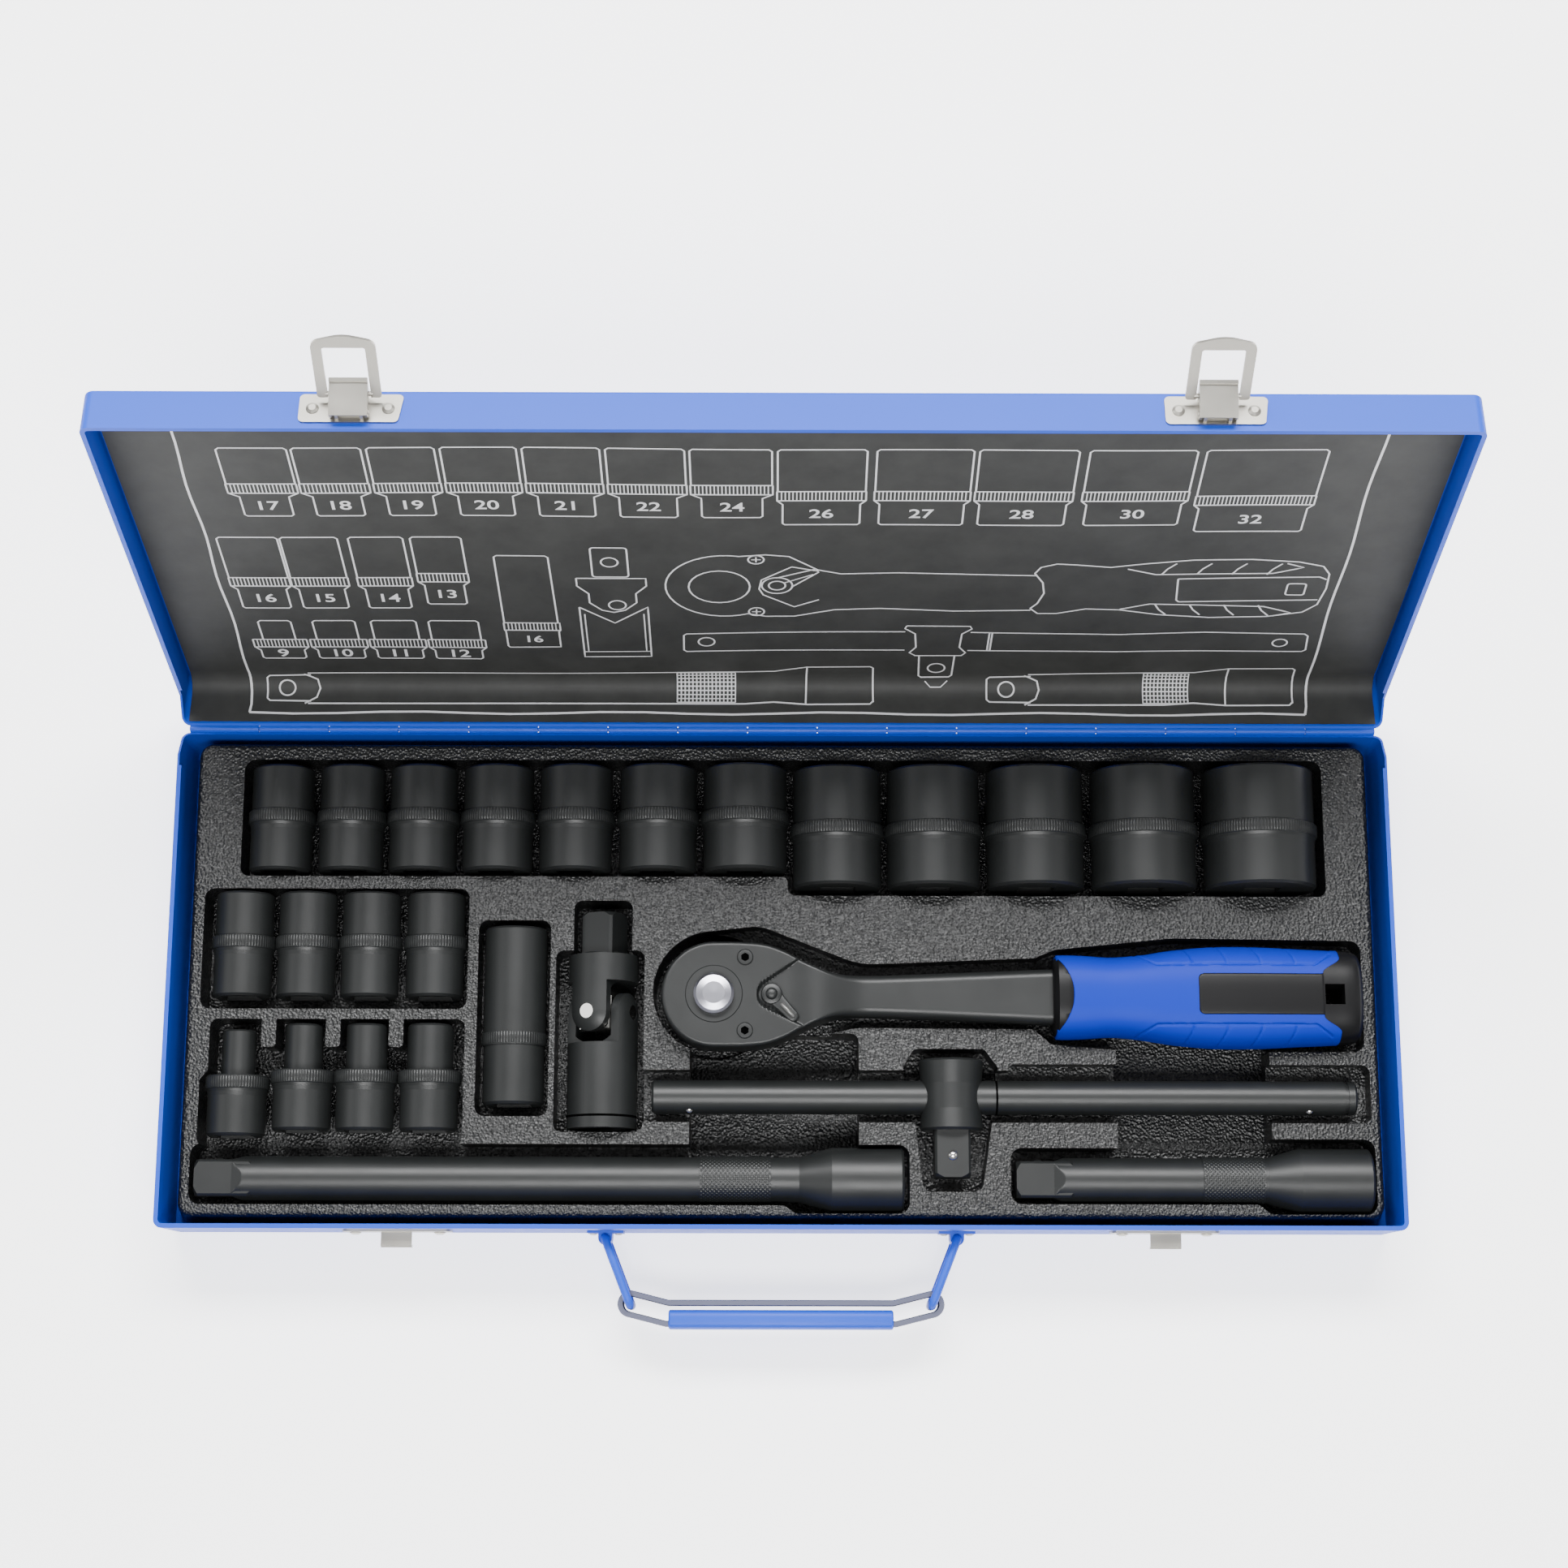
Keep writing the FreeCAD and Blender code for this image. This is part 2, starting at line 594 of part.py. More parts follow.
def ratchet_outline():
    """Pocket outline around the ratchet's head, shaft and grip."""
    head = Part.Face(Part.Wire(Part.makeCircle(22.0, Vector(RATCHET_X, RATCHET_Y + 1.9, 0))))
    neck = rounded([
        (RATCHET_X, -27.3, 0), (-8, -26.5, 16), (26, -18.0, 30), (100, -18.4, 0), (100, 7.6, 0),
        (92, 7.2, 20), (28, 4.6, 30), (-8, 18.6, 16), (RATCHET_X, 16.7, 0),
    ])
    grip = rounded([
        (90, -18.6, 3), (96, -23.8, 3), (128, -26.4, 30), (207.4, -26.2, 4),
        (207.4, 13.6, 4), (140, 14.4, 40), (98, 10.2, 3), (90, 7.0, 3),
    ])
    return head, neck, grip


def tool_tray():
    tray = Tray()
    row_1 = rounded([
        (-195.4, 36.4, 3), (2.0, 36.4, 2), (2.0, 29.6, 3), (196.0, 29.6, 3), (196.0, 79.6, 4),
        (-195.4, 79.2, 4),
    ])
    tray.stepped(row_1, row_1_cells())
    small_floor = rest_floor(SMALL_OD / 2)
    tray.pocket(rounded_rect(-207.6, -11.6, -112.4, 31.8, 3.5), small_floor)
    row_3 = rounded([
        (-206.4, -60.2, 3), (-112.8, -60.2, 3), (-112.8, -15.2, 3),
        (-203.6, -15.2, 3), (-203.6, -33.4, 1.2), (-206.4, -36.8, 1.2),
    ])
    for x in (-182.6, -159.7, -137.3):
        row_3 = row_3.cut(rounded_rect(x - 2.6, -25.2, x + 2.6, -10, 1.4))
    tray.pocket(row_3.Faces[0], small_floor)
    _, x, od, y0, y1 = DEEP
    tray.pocket(rounded_rect(x - 13.1, y0 - 4.1, x + 12.8, y1 + 2.6, 3.5), rest_floor(od / 2))
    joint_floor = UJOINT_Z - UJOINT_R - LIE_GAP
    tray.pocket(rounded_rect(UJOINT_X - 16.8, UJOINT_FRONT - 1.4, UJOINT_X + 14.9, 9.6, 3), joint_floor)
    tray.pocket(rounded_rect(UJOINT_X - 10.6, 0, UJOINT_X + 10.4, UJOINT_TIP + 4.0, 3), joint_floor)

    head, neck, grip = ratchet_outline()
    tray.pocket(head, 2.2)
    tray.pocket(neck, HEAD_Z[0] - 2.0)
    tray.pocket(grip, 13.2)
    tray.pocket(rounded_rect(-32.6, -64, 27.4, -20, 3), 6.0)
    tray.pocket(rounded_rect(118.8, -64, 173.4, -20, 3), 10.0)

    bar_floor = TBAR_Z - TBAR_R - LIE_GAP
    tray.pocket(rounded_rect(-54, -51.4, 208.8, -33.0, 3), bar_floor)
    tray.pocket(rounded_rect(80, -50.6, 208.8, -30.8, 3), bar_floor)
    cross = rounded([
        (46.4, -44, 0), (50.0, -75.6, 3.5), (70.8, -75.6, 3.5), (75.6, -44, 0),
        (76.8, -32.0, 1), (72.0, -25.4, 2), (47.0, -25.4, 2), (43.0, -32.0, 1),
    ])
    tray.pocket(cross, TBAR_Z - TBAR_HEAD_R - LIE_GAP)
    long_floor = BAR_Z - BAR_SOCKET_R - LIE_GAP
    tray.pocket(rounded([
        (-208.4, -80.4, 4), (1, -80.4, 3), (5, -83.2, 3), (45.2, -83.2, 4), (45.2, -59.2, 4),
        (-208.4, -59.2, 4),
    ]), long_floor)
    tray.pocket(rounded([
        (80.8, -79.8, 4), (168, -79.8, 3), (172, -83.2, 3), (209.6, -83.2, 4), (209.6, -57.0, 4),
        (172, -57.0, 3), (168, -60.2, 3), (80.8, -60.2, 4),
    ]), long_floor)

    land = rounded_rect(-TRAY_X, TRAY_FRONT, TRAY_X, TRAY_BACK, 5)
    foot_x, foot_front, foot_back = TRAY_X + 4.2, TRAY_FRONT - 2.4, TRAY_BACK + 2.0
    foot_z = SHEET + 0.3
    foot = rounded_rect(-foot_x, foot_front, foot_x, foot_back, 6, foot_z)
    land_top = rounded_rect(-TRAY_X, TRAY_FRONT, TRAY_X, TRAY_BACK, 5, LAND_Z)
    outside = Part.makeLoft([foot.OuterWire, land_top.OuterWire], True, True)
    lip = [e for e in outside.Edges if e.BoundBox.ZMin > LAND_Z - 0.01]
    outside = outside.makeFillet(1.8, lip)
    inside = Part.makeLoft([
        grown(foot, -TRAY_WALL).OuterWire,
        rounded_rect(
            -TRAY_X + 1.6, TRAY_FRONT + 1.6, TRAY_X - 1.6, TRAY_BACK - 1.6, 3.4, LAND_Z - TRAY_WALL,
        ).OuterWire,
    ], True, True)
    inside = inside.cut(union(tray.walls))
    shell = outside.cut(inside).cut(union(tray.voids)).removeSplitter()
    save("tool_tray", shell)


# ---- Sockets ------------------------------------------------------------------
def hexagon_bore(across_flats, x, z, y0, y1):
    r = across_flats / math.sqrt(3)
    corners = [(x + r * math.sin(k * math.pi / 3), y0, z + r * math.cos(k * math.pi / 3)) for k in range(6)]
    return face_of(corners).extrude(Vector(0, y1 - y0, 0))


def square_bar(width, x, z, y0, y1):
    h = width / 2
    return box(x - h, y0, z - h, x + h, y1, z + h)


def socket(size, x, z, y0, y1, od, nose_od, ring_y):
    """Hex socket lying along Y: drive end at y0, hex end at y1."""
    ring = od / 2 + RING_STAND
    r, nose = od / 2 - BARREL_INSET, nose_od / 2 - BARREL_INSET
    profile = [
        (y0, 0), (y0, r - 0.9), (y0 + 0.9, r), (ring_y - 2.4, r), (ring_y - 1.0, r + 0.2),
        (ring_y, ring - 0.25), (ring_y + 0.25, ring), (ring_y + RING_LEN - 0.25, ring),
        (ring_y + RING_LEN, ring - 0.25), (ring_y + RING_LEN, nose), (y1 - 0.8, nose), (y1, nose - 0.8), (y1, 0),
    ]
    body = turned_y(profile, x, z)
    bore = size + 0.2
    mouth = bore / math.sqrt(3) + 0.2
    body = body.cut(hexagon_bore(bore, x, z, y0 + 16.5, y1 + 1))
    body = body.cut(turned_y([(y1 - 1.2, 0), (y1 - 1.2, mouth - 0.9), (y1, mouth - 0.1), (y1, 0)], x, z))
    body = body.cut(square_bar(DRIVE_BORE, x, z, y0 - 1, y0 + 17))
    save("socket_%dmm" % size, body)


def sockets():
    for row, (y0, y1) in ((ROW_1, FRONT_TO_BACK_1), (ROW_1_LARGE, FRONT_TO_BACK_2)):
        for size, x, od in row:
            socket(size, x, socket_axis(od / 2), y0, y1, od, od, y1 - 21.0 - (4.0 if size > 25 else 0))
    for size, x in ROW_2:
        socket(size, x, socket_axis(SMALL_OD / 2), *ROW_2_Y, SMALL_OD, SMALL_OD, ROW_2_Y[1] - 20.4)
    for size, x, nose, y0 in ROW_3:
        y1 = y0 + ROW_3_LEN
        socket(size, x, socket_axis(SMALL_OD / 2), y0, y1, SMALL_OD, nose, y1 - 21.3)
    size, x, od, y0, y1 = DEEP
    z = socket_axis(od / 2)
    r = od / 2
    body = turned_y([
        (y0, 0), (y0, r - 1.2), (y0 + 0.9, r - 0.3), (y0 + 21, r - 0.3), (y0 + 21, r + RING_STAND),
        (y0 + 21 + RING_LEN, r + RING_STAND),
        (y0 + 21 + RING_LEN, r), (y1 - 0.8, r), (y1, r - 0.8), (y1, 0),
    ], x, z)
    body = body.cut(
        hexagon_bore(size + 0.2, x, z, y0 + 16.5, y1 + 1)
    ).cut(square_bar(DRIVE_BORE, x, z, y0 - 1, y0 + 17))
    save("deep_socket_%dmm" % size, body)


# ---- Drive tools --------------------------------------------------------------
def extension_bar(name, tip, end, knurl0, knurl1):
    """Extension bar along X: square drive at the tip, square socket at the end."""
    cone = end - 36.9
    h = DRIVE / 2
    bar = turned_x([
        (tip + 17, 0), (tip + 17, BAR_R), (knurl0, BAR_R), (knurl0, BAR_R + 0.2),
        (knurl1, BAR_R + 0.2), (knurl1, BAR_R),
        (cone, BAR_R), (cone + 11.5, BAR_SOCKET_R), (end - 0.8, BAR_SOCKET_R),
        (end, BAR_SOCKET_R - 0.8), (end, 0),
    ], BAR_Y, BAR_Z)
    square = box(tip, BAR_Y - h, BAR_Z - h, tip + 22, BAR_Y + h, BAR_Z + h)
    ramp = turned_x(
        [(tip, 0), (tip, 7.0), (tip + 1.4, 8.4), (tip + 19, 8.4), (tip + 21, BAR_R - 0.6), (tip + 22, 0)],
        BAR_Y, BAR_Z,
    )
    bar = bar.fuse(square.common(ramp)).removeSplitter()
    s = DRIVE_BORE / 2
    bar = bar.cut(box(end - 17, BAR_Y - s, BAR_Z - s, end + 1, BAR_Y + s, BAR_Z + s))
    ball_y = BAR_Y + h - BALL_R + 0.9
    seat = ball(BALL_R + 0.02, tip + 8, ball_y, BAR_Z)
    save(name, Part.makeCompound([bar.cut(seat), ball(BALL_R, tip + 8, ball_y, BAR_Z)]))


def tbar():
    ends, r = TBAR_ENDS, TBAR_R
    bar = turned_x([
        (ends[0], 0), (ends[0], r - 0.8), (ends[0] + 0.8, r), (ends[1] - 4.2, r),
        (ends[1] - 4.2, r - 0.6), (ends[1] - 3.0, r - 0.6),
        (ends[1] - 3.0, r - 0.2), (ends[1] - 0.8, r - 0.2), (ends[1], r - 0.9), (ends[1], 0),
    ], TBAR_Y, TBAR_Z)
    balls = []
    for x in TBAR_BALLS:
        out_y, out_z = TBAR_Y - (r - 1.2) * 0.9, TBAR_Z + (r - 1.2) * 0.436
        bar = bar.cut(ball(1.82, x, out_y, out_z))
        balls.append(ball(1.8, x, out_y, out_z))
    save("tbar_rod", bar)
    save("tbar_rod_balls", Part.makeCompound(balls))
    y0, y1 = TBAR_HEAD_Y
    big, mid = TBAR_HEAD_R, (y0 + y1) / 2
    head = turned_y([
        (y0, 0), (y0, big - 1.2), (y0 + 0.8, big - 0.3), (mid - 5, big - 1.0), (mid + 4, big - 0.9),
        (y1 - 0.8, big), (y1, big - 0.8), (y1, 0),
    ], TBAR_HEAD_X, TBAR_Z)
    square = square_bar(DRIVE, TBAR_HEAD_X, TBAR_Z, TBAR_TIP_Y, y0 + 1)
    tip = turned_y(
        [(TBAR_TIP_Y, 0), (TBAR_TIP_Y, 7.0), (TBAR_TIP_Y + 1.4, 8.4), (y0 + 1, 8.4), (y0 + 1, 0)],
        TBAR_HEAD_X, TBAR_Z,
    )
    head = head.fuse(square.common(tip)).removeSplitter()
    head = head.cut(rod(r + RUN, (TBAR_HEAD_X - 20, TBAR_Y, TBAR_Z), (TBAR_HEAD_X + 20, TBAR_Y, TBAR_Z)))
    ball_y, ball_z = TBAR_TIP_Y + 7.6, TBAR_Z + DRIVE / 2 - BALL_R + 0.9
    seat = ball(BALL_R + 0.02, TBAR_HEAD_X, ball_y, ball_z)
    save("tbar_head", Part.makeCompound([head.cut(seat), ball(BALL_R, TBAR_HEAD_X, ball_y, ball_z)]))


def fork(outer, across_x):
    """One yoke of the universal joint, reaching along +Y from the cross's centre."""
    x, y, z = UJOINT_X, UJOINT_Y, UJOINT_Z
    centre = Vector(x, y, z)
    sweep, swept = UJOINT_R - 0.05, UJOINT_R + 0.6
    blank = rod(UJOINT_R, (x, y - 8, z), (x, y + outer, z))
    beyond = box(x - 20, y, z - 20, x + 20, y + outer, z + 20)
    pin = rod(EAR_R, centre - Vector(20, 0, 0), centre + Vector(20, 0, 0))
    ears = pin.fuse(box(x - 20, y, z - EAR_R, x + 20, y + swept + 1, z + EAR_R))
    slab = box(x - EAR_GAP, y - 20, z - 20, x + EAR_GAP, y + 20, z + 20)
    hole = rod(CROSS_PIN_R + RUN, centre - Vector(20, 0, 0), centre + Vector(20, 0, 0))
    ears = blank.common(ears).common(ball(sweep, x, y, z).fuse(beyond))
    bridge = blank.common(
        box(x - 20, y + BRIDGE_Y, z - 20, x + 20, y + outer, z + 20)
    ).cut(ball(swept, x, y, z))
    yoke = ears.fuse(bridge).cut(slab.common(ball(swept, x, y, z))).cut(hole).removeSplitter()
    if not across_x:
        yoke.rotate(centre, Vector(0, 1, 0), 90)
    return yoke


def universal_joint():
    x, y, z = UJOINT_X, UJOINT_Y, UJOINT_Z
    shoulder = UJOINT_SHOULDER - y
    drive = fork(shoulder, False)
    square = square_bar(DRIVE, x, z, y + shoulder - 1, UJOINT_TIP)
    tip = turned_y(
        [
            (y + shoulder - 1, 0), (y + shoulder - 1, 8.4),
            (UJOINT_TIP - 1.4, 8.4), (UJOINT_TIP, 7.0), (UJOINT_TIP, 0),
        ],
        x, z,
    )
    collar = turned_y(
        [(y + shoulder - 1, 0), (y + shoulder - 1, 8.8), (y + shoulder + 1.2, 7.6), (y + shoulder + 1.2, 0)],
        x, z,
    )
    drive = union([drive, square.common(tip), collar])
    ball_z = z - DRIVE / 2 + BALL_R - 0.9
    ball_y = UJOINT_TIP - 7.6
    drive = drive.cut(ball(BALL_R + 0.02, x, ball_y, ball_z))
    lie("ujoint_drive_fork", Part.makeCompound([drive, ball(BALL_R, x, ball_y, ball_z)]))
    socket_fork = fork(y - UJOINT_FRONT, True)
    socket_fork.rotate(Vector(x, y, z), Vector(0, 0, 1), 180)
    socket_fork = socket_fork.cut(square_bar(DRIVE_BORE, x, z, UJOINT_FRONT - 1, UJOINT_FRONT + 17))
    lie("ujoint_socket_fork", socket_fork)
    half = 6.6
    block = box(x - half, y - half, z - half, x + half, y + half, z + half)
    block = block.makeChamfer(0.8, block.Edges)
    r = CROSS_PIN_R
    pins = [rod(r, (x - 12.2, y, z), (x + 12.2, y, z)), rod(r, (x, y, z - 12.2), (x, y, z + 12.2))]
    lie("ujoint_cross", union([block] + pins))


def lie(name, shape):
    """A piece of the universal joint, rolled to the way it lies in the tray."""
    shape.rotate(Vector(UJOINT_X, UJOINT_Y, UJOINT_Z), Vector(0, 1, 0), UJOINT_ROLL)
    save(name, shape)


# ---- Ratchet ------------------------------------------------------------------
def teardrop(inset):
    """Plan outline of the ratchet's head, running into the neck."""
    r = HEAD_R - inset
    x, y = RATCHET_X, RATCHET_Y
    head = Part.Face(Part.Wire(Part.makeCircle(r, Vector(x, y, 0))))
    neck = rounded([
        (x, y - r, 0), (-6.5, y - r - 0.2, 20), (23, y - 7.6 + inset, 16), (30, y - 7.3 + inset, 0),
        (30, y + 7.3 - inset, 0), (23, y + 7.6 - inset, 16), (-6.5, y + r + 0.2, 20), (x, y + r, 0),
    ])
    return head.fuse(neck).removeSplitter().Faces[0]


def ratchet_body():
    x, y = RATCHET_X, RATCHET_Y
    z0, z1 = HEAD_Z
    head = prism(teardrop(0), z0, z1)
    rim = [e for e in head.Edges if e.BoundBox.ZLength < 0.01]
    head = head.makeChamfer(0.9, [e for e in rim if e.BoundBox.XMax < 29.9])
    shaft = rounded(
        [(24, y - 7.5, 0), (GRIP_X[0], y - 10.0, 0), (GRIP_X[0], y + 10.0, 0), (24, y + 7.5, 0)]
    )
    shaft = prism(shaft, *SHAFT_Z)
    shaft = shaft.makeFillet(3.0, [e for e in shaft.Edges if e.BoundBox.XLength > 20])
    core = turned_x(
        [(GRIP_X[0], 0), (GRIP_X[0], 6.5), (GRIP_X[1] - 42, 6.5), (GRIP_X[1] - 42, 0)], y,
        sum(SHAFT_Z) / 2,
    )
    for top, level in ((z1, SHAFT_Z[1]), (z0, SHAFT_Z[0])):
        away = 1 if top == z1 else -1
        slope = [
            (14, -60, top + away), (14, -60, top), (30.2, -60, level), (40, -60, level),
            (40, -60, top + away),
        ]
        head = head.cut(face_of(slope).extrude(Vector(0, 100, 0)))
    body = union([head, shaft, core])
    body = body.cut(rod(GEAR_R + 0.4, (x, y, z0 + 3.0), (x, y, z1 + 1)))
    body = body.cut(rod(9.5 + RUN, (x, y, z0 - 1), (x, y, z1)))
    body = body.cut(prism(cover_outline(), z1 - COVER_T, z1 + 1))
    body = body.cut(rod(8.0, (-6.2, y, z0 + 3.0), (-6.2, y, z1 - 1)))
    for sx, sy in SCREWS:
        body = body.cut(rod(1.25, (sx, sy, z1 - 7), (sx, sy, z1)))
    save("ratchet_body", body)


def cover_outline():
    """Cover plate let into the head's top face."""
    x, y, r = RATCHET_X, RATCHET_Y, HEAD_R - 1.7
    head = Part.Face(Part.Wire(Part.makeCircle(r, Vector(x, y, 0))))
    tail = rounded(
        [
            (x, y - r, 0), (-10, y - r + 0.4, 6), (4.6, y - 5, 5),
            (4.6, y + 5, 5), (-10, y + r - 0.4, 6), (x, y + r, 0),
        ]
    )
    return head.fuse(tail).removeSplitter().Faces[0]


def ratchet_cover():
    x, y = RATCHET_X, RATCHET_Y
    z1 = HEAD_Z[1]
    cover = prism(cover_outline(), z1 - COVER_T, z1)
    cover = cover.cut(rod(HUB_R + 0.08, (x, y, 0), (x, y, BIG)))
    cover = cover.cut(rod(3.05, (LEVER_X, y, 0), (LEVER_X, y, BIG)))
    screws = []
    for sx, sy in SCREWS:
        head = turned_z(
            [(z1 - 6.5, 0), (z1 - 6.5, 1.25), (z1 - 2, 1.25), (z1 - 1.6, 2.4), (z1, 2.4), (z1, 0)], sx,
            sy,
        )
        cover = cover.cut(head)
        hexagon = [
            (sx + 1.3 * math.cos(k * math.pi / 3), sy + 1.3 * math.sin(k * math.pi / 3), z1 - 1.2)
            for k in range(6)
        ]
        screws.append(head.cut(face_of(hexagon).extrude(Vector(0, 0, 2))))
    save("ratchet_cover", cover)
    save("ratchet_cover_screws", Part.makeCompound(screws))


def drive_gear():
    """Ratchet wheel with the square drive below and the release bore through it."""
    x, y = RATCHET_X, RATCHET_Y
    z0, z1 = HEAD_Z
    pitch = 2 * math.pi / GEAR_TEETH
    points = []
    for k in range(GEAR_TEETH):
        for share, r in ((0.0, GEAR_R), (0.18, GEAR_R), (0.5, GEAR_R - 0.8), (0.68, GEAR_R - 0.8)):
            angle = (k + share) * pitch
            points.append((x + r * math.cos(angle), y + r * math.sin(angle), 0))
    wheel = prism(face_of(points), z0 + 3.2, z1 - COVER_T - 0.3)
    hub = turned_z([
        (z0 + 0.2, 0), (z0 + 0.2, 9.5), (z0 + 4, 9.5), (z0 + 4, 12.0), (z1 - COVER_T - 0.3, 12.0),
        (z1 - COVER_T - 0.3, HUB_R), (z1 - 0.2, HUB_R), (z1 + 0.3, HUB_R - 0.5), (z1 + 0.3, 0),
    ], x, y)
    h = DRIVE / 2
    square = box(x - h, y - h, z0 - 16, x + h, y + h, z0 + 1)
    tip = turned_z([(z0 - 16, 0), (z0 - 16, 7.0), (z0 - 14.6, 8.4), (z0 + 1, 8.4), (z0 + 1, 0)], x, y)
    gear = union([wheel, hub, square.common(tip)])
    gear = gear.cut(rod(BUTTON_R + RUN, (x, y, z1 - 6.0), (x, y, BIG)))
    gear = gear.cut(rod(4.4, (x, y, z1 - 15.0), (x, y, BIG)))
    gear = gear.cut(rod(2.5 + RUN, (x, y, z0 - 15.0), (x, y, BIG)))
    ball_z, ball_y = z0 - 8.0, y - h + BALL_R - 0.9
    gear = gear.cut(
        rod(BALL_R + 0.02, (x, ball_y, ball_z), (x, y, ball_z)).fuse(ball(BALL_R + 0.02, x, ball_y, ball_z))
    )
    save("drive_gear", Part.makeCompound([gear, ball(BALL_R, x, ball_y, ball_z)]))
    top = z1 + 4.2
    button = turned_z([
        (z0 - 11.6, 0), (z0 - 11.6, 2.5), (z0 - 11.0, 2.5), (z0 - 9.5, 1.4), (z0 - 5.5, 1.4),
        (z0 - 4.0, 2.5), (z1 - 2.2, 2.5),
        (z1 - 2.2, BUTTON_R), (top - 1.6, BUTTON_R), (top - 0.7, BUTTON_R - 0.9),
        (top - 0.15, BUTTON_R - 3.2), (top, 0),
    ], x, y)
    save("quick_release_button", button)
    coils, wire, pitch_z = 5, 0.45, 2.1
    rings = [
        Part.makeTorus(3.5, wire, Vector(x, y, z1 - 14.5 + k * pitch_z + wire), Vector(0, 0, 1))
        for k in range(coils + 1)
    ]
    save("button_spring", Part.makeCompound(rings))


def lever_and_pawl():
    """Reversing lever over the cover, on a stem that tips the pawl below it."""
    y, z1 = RATCHET_Y, HEAD_Z[1]
    stem = turned_z([(z1 - 8.5, 0), (z1 - 8.5, 3.0), (z1 + 1.0, 3.0), (z1 + 1.0, 0)], LEVER_X, y)
    hub = turned_z(
        [(z1 + 0.3, 0), (z1 + 0.3, 4.2), (z1 + 1.9, 4.2), (z1 + 2.6, 3.2), (z1 + 2.6, 0)], LEVER_X, y
    )
    arm = rounded([
        (LEVER_X - 1.0, y - 3.4, 0), (LEVER_X + 12.4, y - 1.9, 1.6), (LEVER_X + 12.4, y + 1.9, 1.6),
        (LEVER_X - 1.0, y + 3.4, 0),
    ])
    arm = prism(arm, z1 + 0.3, z1 + 1.5)
    rib = box(LEVER_X + 3.6, y - 0.7, z1 + 1.4, LEVER_X + 11.4, y + 0.7, z1 + 2.7)
    piece = union([stem, hub, arm, rib])
    piece.rotate(Vector(LEVER_X, y, 0), Vector(0, 0, 1), -LEVER_SWING)
    save("reversing_lever", piece)
    z0, z2 = HEAD_Z[0] + 3.4, z1 - COVER_T - 0.3
    body = rod(6.2, (-4.6, y, z0), (-4.6, y, z2)).cut(
        rod(GEAR_R + 0.9, (RATCHET_X, y, 0), (RATCHET_X, y, BIG))
    )
    body = body.cut(rod(3.0 + RUN, (LEVER_X, y, 0), (LEVER_X, y, BIG)))
    body.rotate(Vector(LEVER_X, y, 0), Vector(0, 0, 1), -PAWL_TIP)
    save("ratchet_pawl", body)


def grip():
    """Moulded grip: blue sleeve over a black core that ends in a square cap."""
    y, zc = RATCHET_Y, 28.2
    x0, x1 = GRIP_X
    stations = [
        (x0, 15.0, 12.2), (x0 + 6, 14.6, 12.2), (x0 + 24, 14.3, 12.0), (x0 + 42, 16.6, 12.6),
        (x0 + 62, 18.1, 13.2), (x0 + 82, 17.6, 13.0), (x1 - 12, 16.9, 12.4),
    ]

    def section(x, ry, rz):
        points = []
        power = 0.72
        for k in range(24):
            a = 2 * math.pi * k / 24
            c, s = math.cos(a), math.sin(a)
            points.append(
                Vector(x, y + ry * math.copysign(abs(c) ** power, c), zc + rz * math.copysign(abs(s) ** power, s))
            )
        curve = Part.BSplineCurve()
        curve.interpolate(points, True)
        return Part.Wire(curve.toShape())

    shell = Part.makeLoft([section(*s) for s in stations], True, False)
    cap = Part.makeLoft(
        [section(*s) for s in ((x1 - 12, 16.9, 12.4), (x1 - 3, 17.0, 12.2), (x1, 15.6, 10.8))], True,
        True,
    )
    bore = rod(6.5, (x0 - 1, y, sum(SHAFT_Z) / 2), (x1 - 42, y, sum(SHAFT_Z) / 2))
    inlay_room = rounded_rect(x0 + 48, y - 7.6, x1 + 1, y + 7.6, 1.6)
    inlay_room = prism(inlay_room, zc + 9.0, BIG)
    inlay = shell.common(inlay_room)
    shell = shell.cut(inlay_room).cut(bore)
    hole = box(x1 - 14.5, y - 3.7, 0, x1 - 7.1, y + 3.7, BIG)
    core = union([cap, inlay]).cut(bore).cut(hole)
    save("grip_sleeve", shell.cut(hole))
    save("grip_core", core)


# ---- Build --------------------------------------------------------------------
def main():
    os.makedirs("parts", exist_ok=True)
    base_shell()
    lid_shell()
    lid_insert()
    hinge()
    latches()
    rivets = catches() + brackets()
    save("base_rivets", Part.makeCompound(rivets))
    handle_grip()
    for side, name in ((-1, "left"), (1, "right")):
        save(name + "_handle_link", handle_link(side))
    tool_tray()
    sockets()
    extension_bar("long_extension", *LONG_BAR)
    extension_bar("short_extension", *SHORT_BAR)
    tbar()
    universal_joint()
    ratchet_body()
    ratchet_cover()
    drive_gear()
    lever_and_pawl()
    grip()


main()
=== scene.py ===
import json
import math

import bmesh
import bpy
from mathutils import Matrix, Vector


